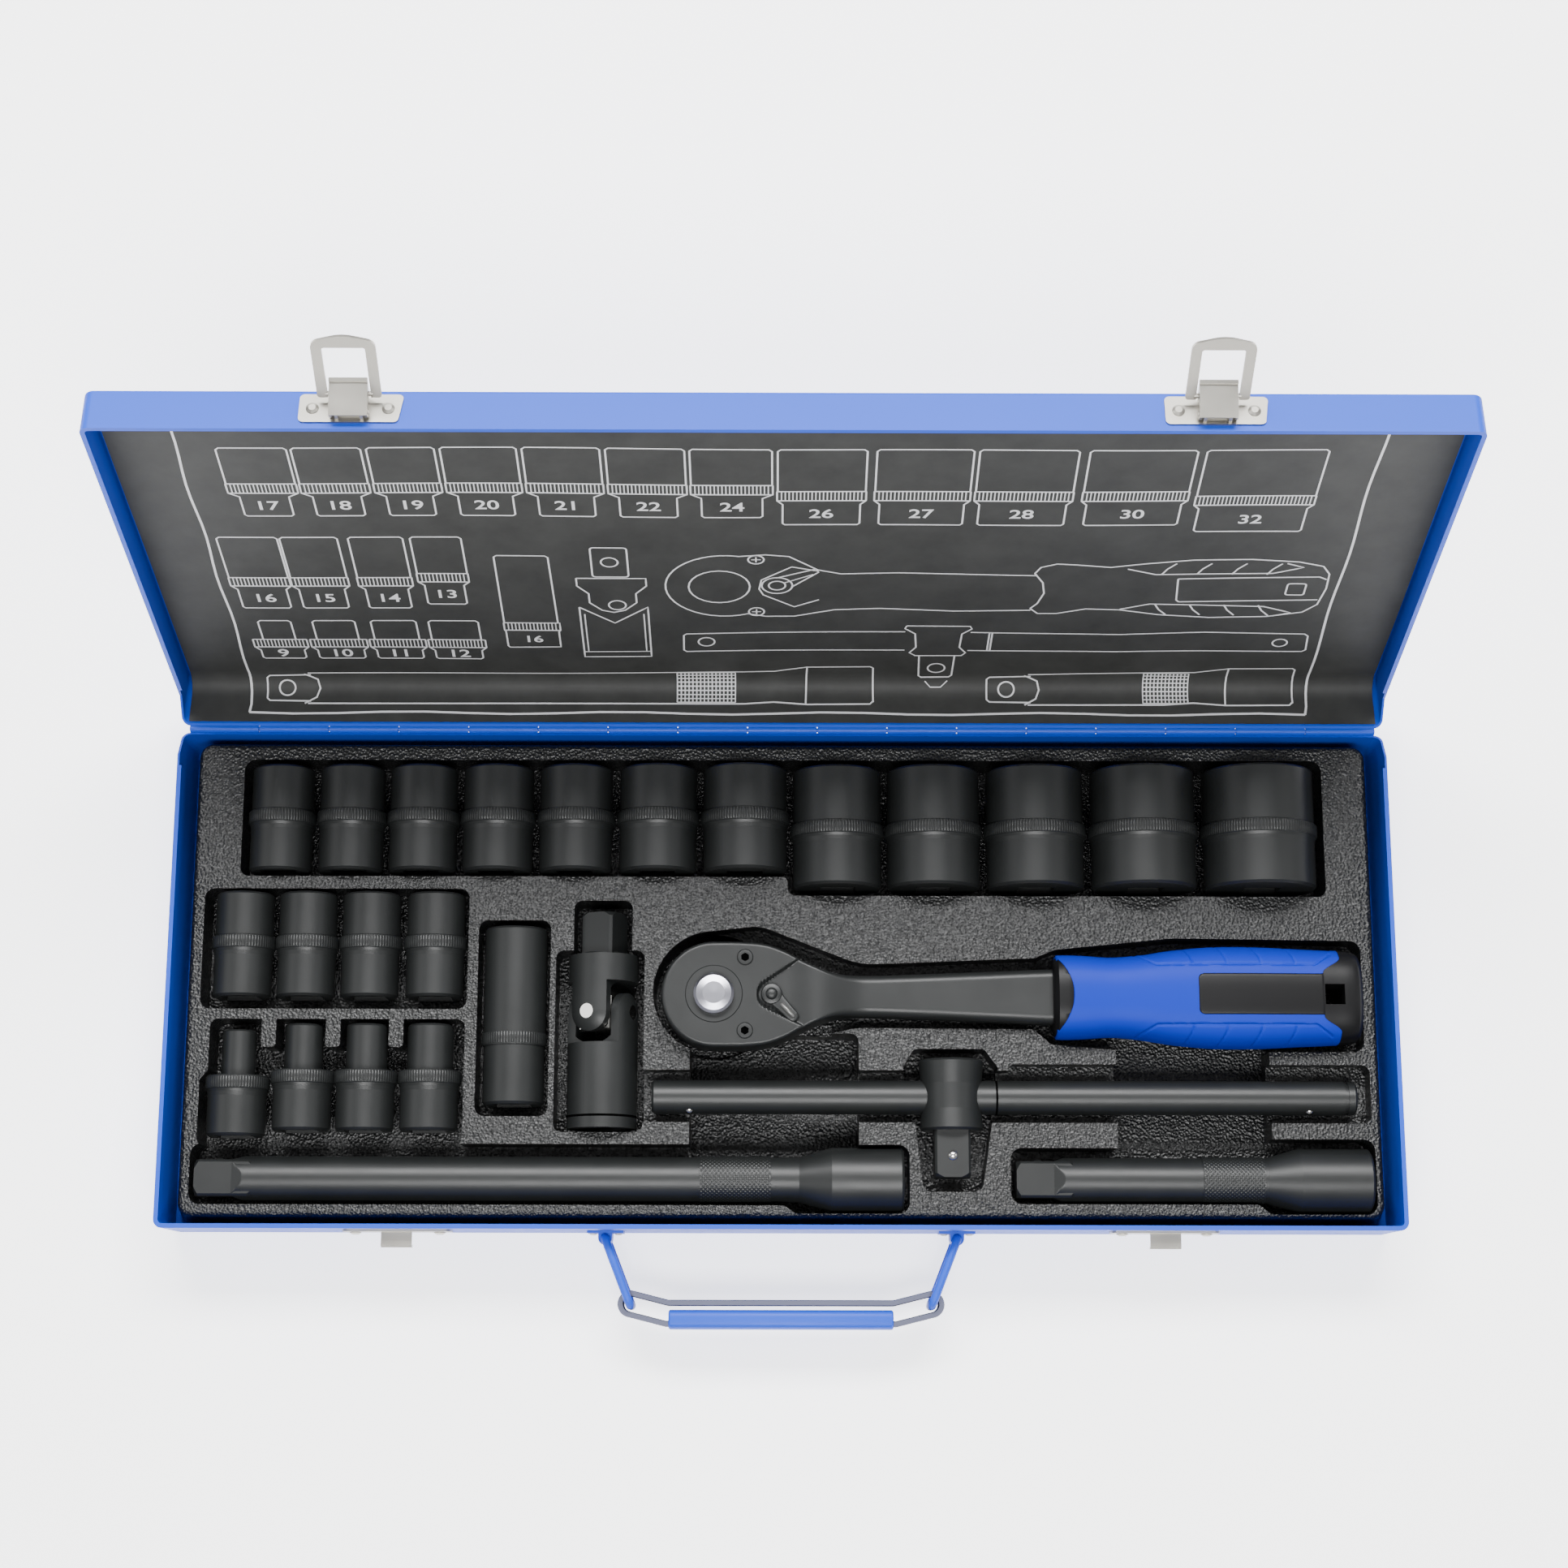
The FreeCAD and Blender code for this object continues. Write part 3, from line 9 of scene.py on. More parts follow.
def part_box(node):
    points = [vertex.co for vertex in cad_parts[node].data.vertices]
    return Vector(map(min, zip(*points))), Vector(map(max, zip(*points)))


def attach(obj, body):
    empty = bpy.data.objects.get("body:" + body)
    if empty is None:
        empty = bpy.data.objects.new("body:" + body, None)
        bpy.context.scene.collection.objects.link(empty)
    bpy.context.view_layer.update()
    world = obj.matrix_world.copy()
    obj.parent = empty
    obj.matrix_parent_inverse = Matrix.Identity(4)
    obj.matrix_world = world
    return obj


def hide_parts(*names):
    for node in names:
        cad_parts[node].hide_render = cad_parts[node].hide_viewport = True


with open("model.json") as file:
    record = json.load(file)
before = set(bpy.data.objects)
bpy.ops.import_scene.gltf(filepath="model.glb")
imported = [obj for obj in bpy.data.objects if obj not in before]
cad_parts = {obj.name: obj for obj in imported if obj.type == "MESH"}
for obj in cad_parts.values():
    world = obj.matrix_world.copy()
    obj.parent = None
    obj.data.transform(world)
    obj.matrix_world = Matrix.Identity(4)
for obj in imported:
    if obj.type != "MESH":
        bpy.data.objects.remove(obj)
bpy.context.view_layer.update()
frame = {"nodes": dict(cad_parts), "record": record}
nodes = frame["nodes"]
MM = 0.001

# ---- The case's hinge and the card in the lid, in millimetres --------------------
HINGE_Y, HINGE_Z, LID_ANGLE = 90.5, 27.8, math.radians(106)
CARD_FRONT, CARD_BEND_AT, CARD_BEND, CARD_FACE = -86.3, 80.2, 6.8, 45.8
CARD_HALF, CARD_LEN = 215.9, 187.0


def opened(x, y, z):
    """A point of the lid, given with the lid shut, where it is with the lid open."""
    dy, dz = y - HINGE_Y, z - HINGE_Z
    c, s = math.cos(LID_ANGLE), math.sin(LID_ANGLE)
    return Vector((x, HINGE_Y + dy * c + dz * s, HINGE_Z - dy * s + dz * c))


# ---- Materials -------------------------------------------------------------------
def material(name, color, rough, metal=0.0, spec=0.5, grain=(), tint=0.0, rough_var=0.0):
    """A plain shader; grain is (kind, size in mm, strength, depth in mm) for each bump layer."""
    m = bpy.data.materials.new(name)
    m.use_nodes = True
    tree = m.node_tree
    shader = tree.nodes["Principled BSDF"]
    shader.inputs["Base Color"].default_value = (*color, 1)
    shader.inputs["Roughness"].default_value = rough
    shader.inputs["Metallic"].default_value = metal
    shader.inputs["Specular IOR Level"].default_value = spec
    coords = tree.nodes.new("ShaderNodeTexCoord")
    last = None
    for kind, size, strength, depth in grain:
        if kind == "cells":
            tex = tree.nodes.new("ShaderNodeTexVoronoi")
            tex.feature = "SMOOTH_F1"
            tex.inputs["Smoothness"].default_value = 0.6
            height = tex.outputs["Distance"]
        else:
            tex = tree.nodes.new("ShaderNodeTexNoise")
            tex.inputs["Detail"].default_value = 3.0
            height = tex.outputs["Fac"]
        tex.inputs["Scale"].default_value = 1000.0 / size
        tree.links.new(coords.outputs["Object"], tex.inputs["Vector"])
        bump = tree.nodes.new("ShaderNodeBump")
        bump.inputs["Strength"].default_value = strength
        bump.inputs["Distance"].default_value = depth * MM
        tree.links.new(height, bump.inputs["Height"])
        if last:
            tree.links.new(last.outputs["Normal"], bump.inputs["Normal"])
        last = bump
    if last:
        tree.links.new(last.outputs["Normal"], shader.inputs["Normal"])
    if tint or rough_var:
        cloud = tree.nodes.new("ShaderNodeTexNoise")
        cloud.inputs["Scale"].default_value = 70.0
        cloud.inputs["Detail"].default_value = 6.0
        cloud.inputs["Roughness"].default_value = 0.62
        tree.links.new(coords.outputs["Object"], cloud.inputs["Vector"])
        if tint:
            ramp = tree.nodes.new("ShaderNodeMix")
            ramp.data_type = "RGBA"
            ramp.inputs["A"].default_value = (*[c * (1 - tint) for c in color], 1)
            ramp.inputs["B"].default_value = (*[c * (1 + tint) for c in color], 1)
            tree.links.new(cloud.outputs["Fac"], ramp.inputs["Factor"])
            tree.links.new(ramp.outputs["Result"], shader.inputs["Base Color"])
        if rough_var:
            span = tree.nodes.new("ShaderNodeMapRange")
            span.inputs["To Min"].default_value = rough - rough_var
            span.inputs["To Max"].default_value = rough + rough_var
            tree.links.new(cloud.outputs["Fac"], span.inputs["Value"])
            tree.links.new(span.outputs["Result"], shader.inputs["Roughness"])
    return m


LOOKS = {
    "case_blue_paint": material(
        "blue_enamel", (0.008, 0.062, 0.520), 0.46, spec=0.30, grain=[("noise", 2.2, 0.25, 0.05)], rough_var=0.05,
    ),
    "black_tray": material(
        "tray_sheet", (0.0050, 0.0053, 0.0056), 0.30, spec=0.42,
        grain=[("cells", 0.95, 1.0, 0.42), ("noise", 0.6, 0.8, 0.22)], rough_var=0.06,
    ),
    "printed_card": material(
        "card_black", (0.031, 0.0315, 0.030), 0.60, spec=0.30, grain=[("noise", 1.2, 0.25, 0.05)], tint=0.50,
    ),
    "nickel_plate": material("nickel", (0.40, 0.385, 0.35), 0.36, metal=1.0, tint=0.04, rough_var=0.08),
    "grey_steel": material("grey_strip", (0.10, 0.105, 0.15), 0.45, metal=0.85, rough_var=0.06),
    "black_phosphate_steel": material(
        "phosphate", (0.0088, 0.0098, 0.0098), 0.42, spec=0.40,
        grain=[("noise", 0.55, 0.30, 0.05)], tint=0.18, rough_var=0.07,
    ),
    "bright_steel": material("bright_steel", (0.60, 0.59, 0.57), 0.20, metal=1.0),
    "chrome_button": material("satin_chrome", (0.42, 0.42, 0.47), 0.30, metal=1.0, rough_var=0.05),
    "blue_grip": material(
        "blue_moulding", (0.0015, 0.018, 0.330), 0.50, spec=0.14, grain=[("noise", 0.5, 0.2, 0.03)], rough_var=0.05,
    ),
    "black_grip": material(
        "black_moulding", (0.0035, 0.0035, 0.004), 0.42, spec=0.20, grain=[("noise", 0.5, 0.2, 0.03)],
    ),
}
PRINT_WHITE = material("print_white", (0.62, 0.62, 0.63), 0.6, spec=0.3)
# Near-black painted shade, standing in for the depth of the turned grooves and of the cover screws' hex sockets.
PAINTED_SHADE = material("painted_shade", (0.001, 0.001, 0.001), 0.9, spec=0.0)
# Lighter metal for the reversing lever's rib: a painted highlight along its ridge.
RIB_HIGHLIGHT = material("rib_highlight", (0.16, 0.16, 0.155), 0.32, metal=0.6)

# Every CAD node takes the look of its own slot, except the hinge pin, which is
# painted over with the case. The tray's formed edges get a small bevel.
PAINTED_OVER = "hinge_pin"
TRAY_BEVEL = 0.9
for part in frame["record"]["subparts"]:
    node = nodes[part["node"]]
    node.data.materials.clear()
    look = "case_blue_paint" if part["node"] == PAINTED_OVER else part["material_slot"]
    node.data.materials.append(LOOKS[look])
    if part["node"] == "tool_tray":
        weld = node.modifiers.new("weld", "WELD")
        weld.merge_threshold = 0.00001
        soft = node.modifiers.new("soft_edges", "BEVEL")
        soft.width = TRAY_BEVEL * MM
        soft.segments = 3
        soft.limit_method = "ANGLE"
        soft.angle_limit = math.radians(50)
        soft.harden_normals = True


# ---- Helpers ---------------------------------------------------------------------
def smooth(t):
    """Runs from 0 to 1 with level ends."""
    t = min(1.0, max(0.0, t))
    return t * t * (3 - 2 * t)


def piece(name, verts, faces, slot, body, angle=35.0, look=None):
    """A new mesh piece from points in millimetres."""
    mesh = bpy.data.meshes.new(name)
    mesh.from_pydata([Vector(v) * MM for v in verts], [], faces)
    bm = bmesh.new()
    bm.from_mesh(mesh)
    bmesh.ops.recalc_face_normals(bm, faces=bm.faces)
    bm.to_mesh(mesh)
    bm.free()
    mesh.shade_smooth()
    mesh.set_sharp_from_angle(angle=math.radians(angle))
    obj = bpy.data.objects.new(name, mesh)
    bpy.context.scene.collection.objects.link(obj)
    mesh.materials.append(look or LOOKS[slot])
    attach(obj, body)
    return obj


def rings(rows, closed_ends=False):
    """Faces that join successive rows of points, each row a closed loop."""
    verts, faces = [], []
    n = len(rows[0])
    for row in rows:
        verts += row
    for r in range(len(rows) - 1):
        for k in range(n):
            a, b = r * n + k, r * n + (k + 1) % n
            faces.append((a, b, b + n, a + n))
    if closed_ends:
        faces.append(tuple(range(n)))
        faces.append(tuple(range((len(rows) - 1) * n, len(rows) * n)))
    else:
        last = (len(rows) - 1) * n
        for k in range(n):
            faces.append((last + k, last + (k + 1) % n, (k + 1) % n, k))
    return verts, faces


def sheet_faces(cols, lines):
    """Faces of a thin sheet: a front grid, a back grid and the band round their edge."""
    width = cols + 1
    total = width * (lines + 1)
    faces = []
    for j in range(lines):
        for i in range(cols):
            a = j * width + i
            faces.append((a, a + 1, a + 1 + width, a + width))
            faces.append((a + total, a + total + width, a + total + 1 + width, a + total + 1))
    edge = list(range(width)) + [j * width + cols for j in range(1, lines + 1)]
    edge += [lines * width + i for i in range(cols - 1, -1, -1)]
    edge += [j * width for j in range(lines - 1, 0, -1)]
    for a, b in zip(edge, edge[1:] + edge[:1]):
        faces.append((a, b, b + total, a + total))
    return faces


def straight_knurl(name, body, x, z, y0, y1, radius):
    """A ring of straight teeth round an axis along Y, on a socket."""
    stand, pitch = 0.26, 1.05
    n = 4 * int(2 * math.pi * radius / pitch)
    shape = (0.0, 0.1, 1.0, 1.0)
    rows = []
    for y, rise in ((y0, -0.30), (y0 + 0.25, 0.35), (y0 + 0.6, 1.0), (y1 - 0.6, 1.0), (y1 - 0.25, 0.35), (y1, -0.30)):
        row = []
        for k in range(n):
            r = radius - 0.03 + (shape[k % 4] * stand if rise > 0.9 else 0.0) + (rise - 1) * 0.22
            a = 2 * math.pi * k / n
            row.append((x + r * math.cos(a), y, z + r * math.sin(a)))
        rows.append(row)
    inner = radius - 0.7
    for y in (y1, y0):
        rows.append([
            (x + inner * math.cos(2 * math.pi * k / n), y, z + inner * math.sin(2 * math.pi * k / n)) for k in range(n)
        ])
    verts, faces = rings(rows)
    return piece(name, verts, faces, "black_phosphate_steel", body, angle=50)


def cross_knurl(name, body, y, z, x0, x1, radius):
    """A diamond knurl round a bar along X."""
    stand, pitch = 0.30, 1.55
    across = int(2 * math.pi * radius / pitch)
    n = across * 6
    steps = int((x1 - x0) / (pitch / 6)) + 1
    rows = []
    for i in range(steps + 1):
        x = x0 + (x1 - x0) * i / steps
        edge = min(1.0, min(x - x0, x1 - x) / 0.7)
        row = []
        for k in range(n):
            a = 2 * math.pi * k / n
            u, v = across * k / n, (x - x0) / pitch
            p, q = (u + v) % 1.0, (u - v) % 1.0
            bump = min(abs(2 * p - 1), abs(2 * q - 1)) * 2
            r = radius + 0.02 + stand * (min(1.0, bump) - 0.75) * edge
            row.append((x, y + r * math.cos(a), z + r * math.sin(a)))
        rows.append(row)
    inner = radius - 0.8
    for x in (x1, x0):
        rows.append([
            (x, y + inner * math.cos(2 * math.pi * k / n), z + inner * math.sin(2 * math.pi * k / n)) for k in range(n)
        ])
    verts, faces = rings(rows)
    return piece(name, verts, faces, "black_phosphate_steel", body, angle=80)


# ---- Knurled rings ---------------------------------------------------------------
def middle(node):
    """A node's middle, low corner and high corner, in millimetres."""
    lo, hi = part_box(node)
    return [(lo[i] + hi[i]) / 2 / MM for i in range(3)], [lo[i] / MM for i in range(3)], [hi[i] / MM for i in range(3)]


RING, LAP = 4.8, 0.02


def ring_back(size):
    """How far a socket's ring starts from the socket's rear end, by its group."""
    if size > 25:
        return 25.0
    if size > 16:
        return 21.0
    return 20.4 if size > 12 else 21.3


for size in (17, 18, 19, 20, 21, 22, 24, 26, 27, 28, 30, 32, 16, 15, 14, 13, 9, 10, 11, 12):
    node = "socket_%dmm" % size
    mid, lo, hi = middle(node)
    y0 = hi[1] - ring_back(size)
    straight_knurl(node + "_knurl", node, mid[0], mid[2], y0 - LAP, y0 + RING + LAP, (hi[0] - lo[0]) / 2)
mid, lo, hi = middle("deep_socket_16mm")
straight_knurl(
    "deep_socket_16mm_knurl", "deep_socket_16mm", mid[0], mid[2],
    lo[1] + 20.98, lo[1] + 21 + RING + 0.02, (hi[0] - lo[0]) / 2,
)
BAR_R, BAR_Y, BAR_Z = 7.9, -71.2, 21.5
for node, x0, x1 in (("long_extension", -28.9, -3.6), ("short_extension", 148.5, 170.3)):
    cross_knurl(node + "_knurl", node, BAR_Y, BAR_Z, x0 - LAP, x1 + LAP, BAR_R + 0.25)


# ---- Shoulders, turned grooves in painted shade and the T-bar's drive ball -------
def drive_shoulder(name, tip):
    """Where a bar's square drive runs out into the round bar: the flats climb and end in a point."""
    start, end, half, square_r = tip + 13.2, tip + 17.05, 6.37, 8.42
    rows = []
    for k in range(15):
        t = k / 14
        h, r = half + (BAR_R - half) * t, square_r + (BAR_R + 0.02 - square_r) * smooth(t * 2)
        row = []
        for i in range(120):
            a = 2 * math.pi * i / 120
            reach = min(r, h / max(abs(math.cos(a)), abs(math.sin(a))))
            row.append((start + (end - start) * t, BAR_Y + reach * math.cos(a), BAR_Z + reach * math.sin(a)))
        rows.append(row)
    verts, faces = rings(rows, closed_ends=True)
    piece(name + "_shoulder", verts, faces, "black_phosphate_steel", name, angle=14)


def groove(name, body, centre, axis, radius, half):
    """A narrow turned groove round a bar, drawn as a ring of painted shade that stands in for its depth."""
    rows = []
    for step, r in ((-half, radius - 0.3), (-half, radius + 0.03), (half, radius + 0.03), (half, radius - 0.3)):
        row = []
        for i in range(96):
            u, v = r * math.cos(2 * math.pi * i / 96), r * math.sin(2 * math.pi * i / 96)
            offset = (step, u, v) if axis == "X" else (u, step, v)
            row.append(tuple(c + o for c, o in zip(centre, offset)))
        rows.append(row)
    verts, faces = rings(rows)
    piece(name, verts, faces, "black_phosphate_steel", body, look=PAINTED_SHADE)


drive_shoulder("long_extension", -206.6)
drive_shoulder("short_extension", 82.8)
# Both grooves are rings of painted shade laid on the bars, not cut into them.
groove("tbar_rod_groove_shade", "tbar_rod", (76.2, -42.4, 24.0), "X", 6.0, 0.35)
groove("ujoint_groove_shade", "ujoint_socket_fork", (-64.0, -49.4, 21.0), "Y", 12.5, 0.4)


def tbar_head_ball():
    """The bright ball in the side of the T-bar head's square drive."""
    x, y, z, r = 60.3, -63.0, 29.1, 2.24
    rows = []
    for i in range(13):
        a = math.pi * i / 12
        rows.append([
            (x + r * math.sin(a) * math.cos(math.pi * k / 16), y + r * math.sin(a) * math.sin(math.pi * k / 16),
             z - r * math.cos(a)) for k in range(32)
        ])
    verts, faces = rings(rows, closed_ends=True)
    piece("tbar_head_ball", verts, faces, "bright_steel", "tbar_head", angle=180)


tbar_head_ball()


# ---- Handle ----------------------------------------------------------------------
def strap_outline(half_width):
    """The handle's ring seen from above: straight in the middle, ends bent back, round tips."""
    lean, flat, mid_y, reach = math.radians(14), 40.0, -117.4, 13.07
    points = []
    for side in (1, -1):
        tip = (side * (flat + reach * math.cos(lean)), mid_y + reach * math.sin(lean))
        shift = half_width * math.tan(lean / 2)
        near = [(side * (flat + shift), mid_y - half_width), (side * (flat - shift), mid_y + half_width)]
        turn = lean if side > 0 else math.pi - lean
        arc = []
        for k in range(25):
            a = turn - side * math.pi / 2 + side * math.pi * k / 24
            arc.append((tip[0] + half_width * math.cos(a), tip[1] + half_width * math.sin(a)))
        row = [near[0]] + arc + [near[1]]
        points += row if side > 0 else row[::-1]
    return points


def handle():
    """The ring strap and the blue cover round its front."""
    rows = []
    for half_width, z in (
        (4.65, 12.8), (4.65, 21.2), (4.4, 21.5), (2.8, 21.5), (2.55, 21.2), (2.55, 12.8), (2.8, 12.5), (4.4, 12.5),
    ):
        rows.append([(x, y, z) for x, y in strap_outline(half_width)])
    verts, faces = rings(rows)
    strap = piece("handle_strap", verts, faces, "grey_steel", "handle_grip", angle=50)
    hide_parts("handle_grip_ring")
    rows = []
    for x, shrink in ((-39.4, 0.5), (-39.1, 0.1), (-38.7, 0.0), (38.7, 0.0), (39.1, 0.1), (39.4, 0.5)):
        row = []
        for k in range(72):
            a = 2 * math.pi * k / 72
            c, t = math.cos(a), math.sin(a)
            row.append((
                x, -119.55 + (3.4 - shrink) * math.copysign(abs(c) ** 0.62, c),
                17.0 + (5.5 - shrink) * math.copysign(abs(t) ** 0.5, t),
            ))
        rows.append(row)
    verts, faces = rings(rows, closed_ends=True)
    sleeve = piece("handle_cover", verts, faces, "case_blue_paint", "handle_grip", angle=50)
    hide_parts("handle_grip_sleeve")


handle()

# ---- The printed card ------------------------------------------------------------
def waves(x, s):
    """How far the loose card bulges out of the lid."""
    w = 0.34 * math.sin(x * 0.021 + 0.8) * math.sin(s * 0.034 + 0.3)
    w += 0.20 * math.sin(x * 0.047 + s * 0.019 + 2.0) + 0.12 * math.sin(x * 0.013 - s * 0.061)
    return w


def card_point(x, s, lift=0.0):
    """The point of the card's face at x across the lid and s down it from the front."""
    flat = CARD_BEND_AT - CARD_FRONT
    arc = CARD_BEND * math.pi / 2
    lift += waves(x, s) * min(1.0, max(0.0, (CARD_LEN - s) / 25))
    if s < flat:
        return opened(x, CARD_FRONT + s, CARD_FACE - lift)
    if s < flat + arc:
        a = (s - flat) / CARD_BEND
        r = CARD_BEND - lift
        return opened(x, CARD_BEND_AT + r * math.sin(a), CARD_FACE - CARD_BEND + r * math.cos(a))
    return opened(x, CARD_BEND_AT + CARD_BEND - lift, CARD_FACE - CARD_BEND - (s - flat - arc))


def card_sheet():
    """The card itself, a thin sheet with its face and back."""
    across, down, thick = 150, 110, 0.45
    verts = []
    for side in (0.0, -thick):
        for j in range(down + 1):
            s = CARD_LEN * j / down
            for i in range(across + 1):
                x = -CARD_HALF + 2 * CARD_HALF * i / across
                verts.append(card_point(x, s, side))
    card = piece("lid_card", verts, sheet_faces(across, down), "printed_card", "lid", angle=40)
    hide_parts("lid_insert")


card_sheet()

print_verts, print_faces = [], []
PRINT_LIFT = 0.07
LINE = 0.62


def stroke(points, width=LINE, closed=False):
    """A white line on the card along points (x, s)."""
    if closed:
        points = points + [points[0]]
    dense = []
    for (xa, sa), (xb, sb) in zip(points, points[1:]):
        count = max(1, int(math.hypot(xb - xa, sb - sa) / 2.5))
        dense += [(xa + (xb - xa) * k / count, sa + (sb - sa) * k / count) for k in range(count)]
    dense.append(points[-1])
    base = len(print_verts)
    for k, (x, s) in enumerate(dense):
        before = dense[k - 1] if k else dense[0]
        after = dense[k + 1] if k + 1 < len(dense) else dense[-1]
        dx, ds = after[0] - before[0], after[1] - before[1]
        length = math.hypot(dx, ds) or 1.0
        ox, os = -ds / length * width / 2, dx / length * width / 2
        print_verts.append(card_point(x + ox, s + os, PRINT_LIFT))
        print_verts.append(card_point(x - ox, s - os, PRINT_LIFT))
    for k in range(len(dense) - 1):
        a = base + 2 * k
        print_faces.append((a, a + 1, a + 3, a + 2))


def circle(x, s, r):
    angles = [math.radians(360 * k / 24) for k in range(25)]
    stroke([(x + r * math.cos(a), s + r * math.sin(a)) for a in angles])


def rounded_box(x0, s0, x1, s1, r):
    pts = []
    for cx, cs, start in ((x1 - r, s0 + r, -90), (x1 - r, s1 - r, 0), (x0 + r, s1 - r, 90), (x0 + r, s0 + r, 180)):
        for k in range(5):
            a = math.radians(start + 90 * k / 4)
            pts.append((cx + r * math.cos(a), cs + r * math.sin(a)))
    stroke(pts, closed=True)


def number(text, x, s, height):
    """A size number, centred at (x, s)."""
    curve = bpy.data.curves.new("number", "FONT")
    curve.body = text
    curve.size = height / 0.69
    curve.align_x, curve.align_y = "CENTER", "CENTER"
    curve.offset = 0.10
    holder = bpy.data.objects.new("number", curve)
    bpy.context.scene.collection.objects.link(holder)
    bpy.context.view_layer.update()
    mesh = bpy.data.meshes.new_from_object(holder)
    base = len(print_verts)
    for v in mesh.vertices:
        print_verts.append(card_point(x + v.co.x * 1.15, s - v.co.y, PRINT_LIFT))
    for p in mesh.polygons:
        print_faces.append(tuple(base + i for i in p.vertices))
    bpy.data.objects.remove(holder)
    bpy.data.meshes.remove(mesh)
    bpy.data.curves.remove(curve)


def hatch(x0, x1, s0, s1):
    """The close lines of a knurled band."""
    pitch, width = 1.25, 0.42
    count = int((x1 - x0) / pitch)
    for k in range(1, count):
        x = x0 + (x1 - x0) * k / count
        stroke([(x, s0), (x, s1)], width)


def socket_icon(x0, x1, s0, nose, body, text, step=1.6, neck=0.0):
    """A socket from the side: nose, knurled band, drive end with its size."""
    band = s0 + nose
    low = band + 5.4
    end = low + body
    n0, n1 = x0 + neck, x1 - neck
    stroke([(n0, band), (n0, s0 + 1), (n0 + 1, s0), (n1 - 1, s0), (n1, s0 + 1), (n1, band)])
    stroke([(x0 - 0.2, band), (x1 + 0.2, band)])
    stroke([
        (x0 - 0.2, band), (x0 - 0.2, low), (x0 + step, low + 2.2), (x0 + step, end - 0.8), (x0 + step + 0.8, end),
        (x1 - step - 0.8, end), (x1 - step, end - 0.8), (x1 - step, low + 2.2), (x1 + 0.2, low), (x1 + 0.2, band),
    ])
    stroke([(x0 - 0.2, low), (x1 + 0.2, low)])
    hatch(x0, x1, band, low)
    number(text, (x0 + x1) / 2, low + body * 0.56, 5.0)


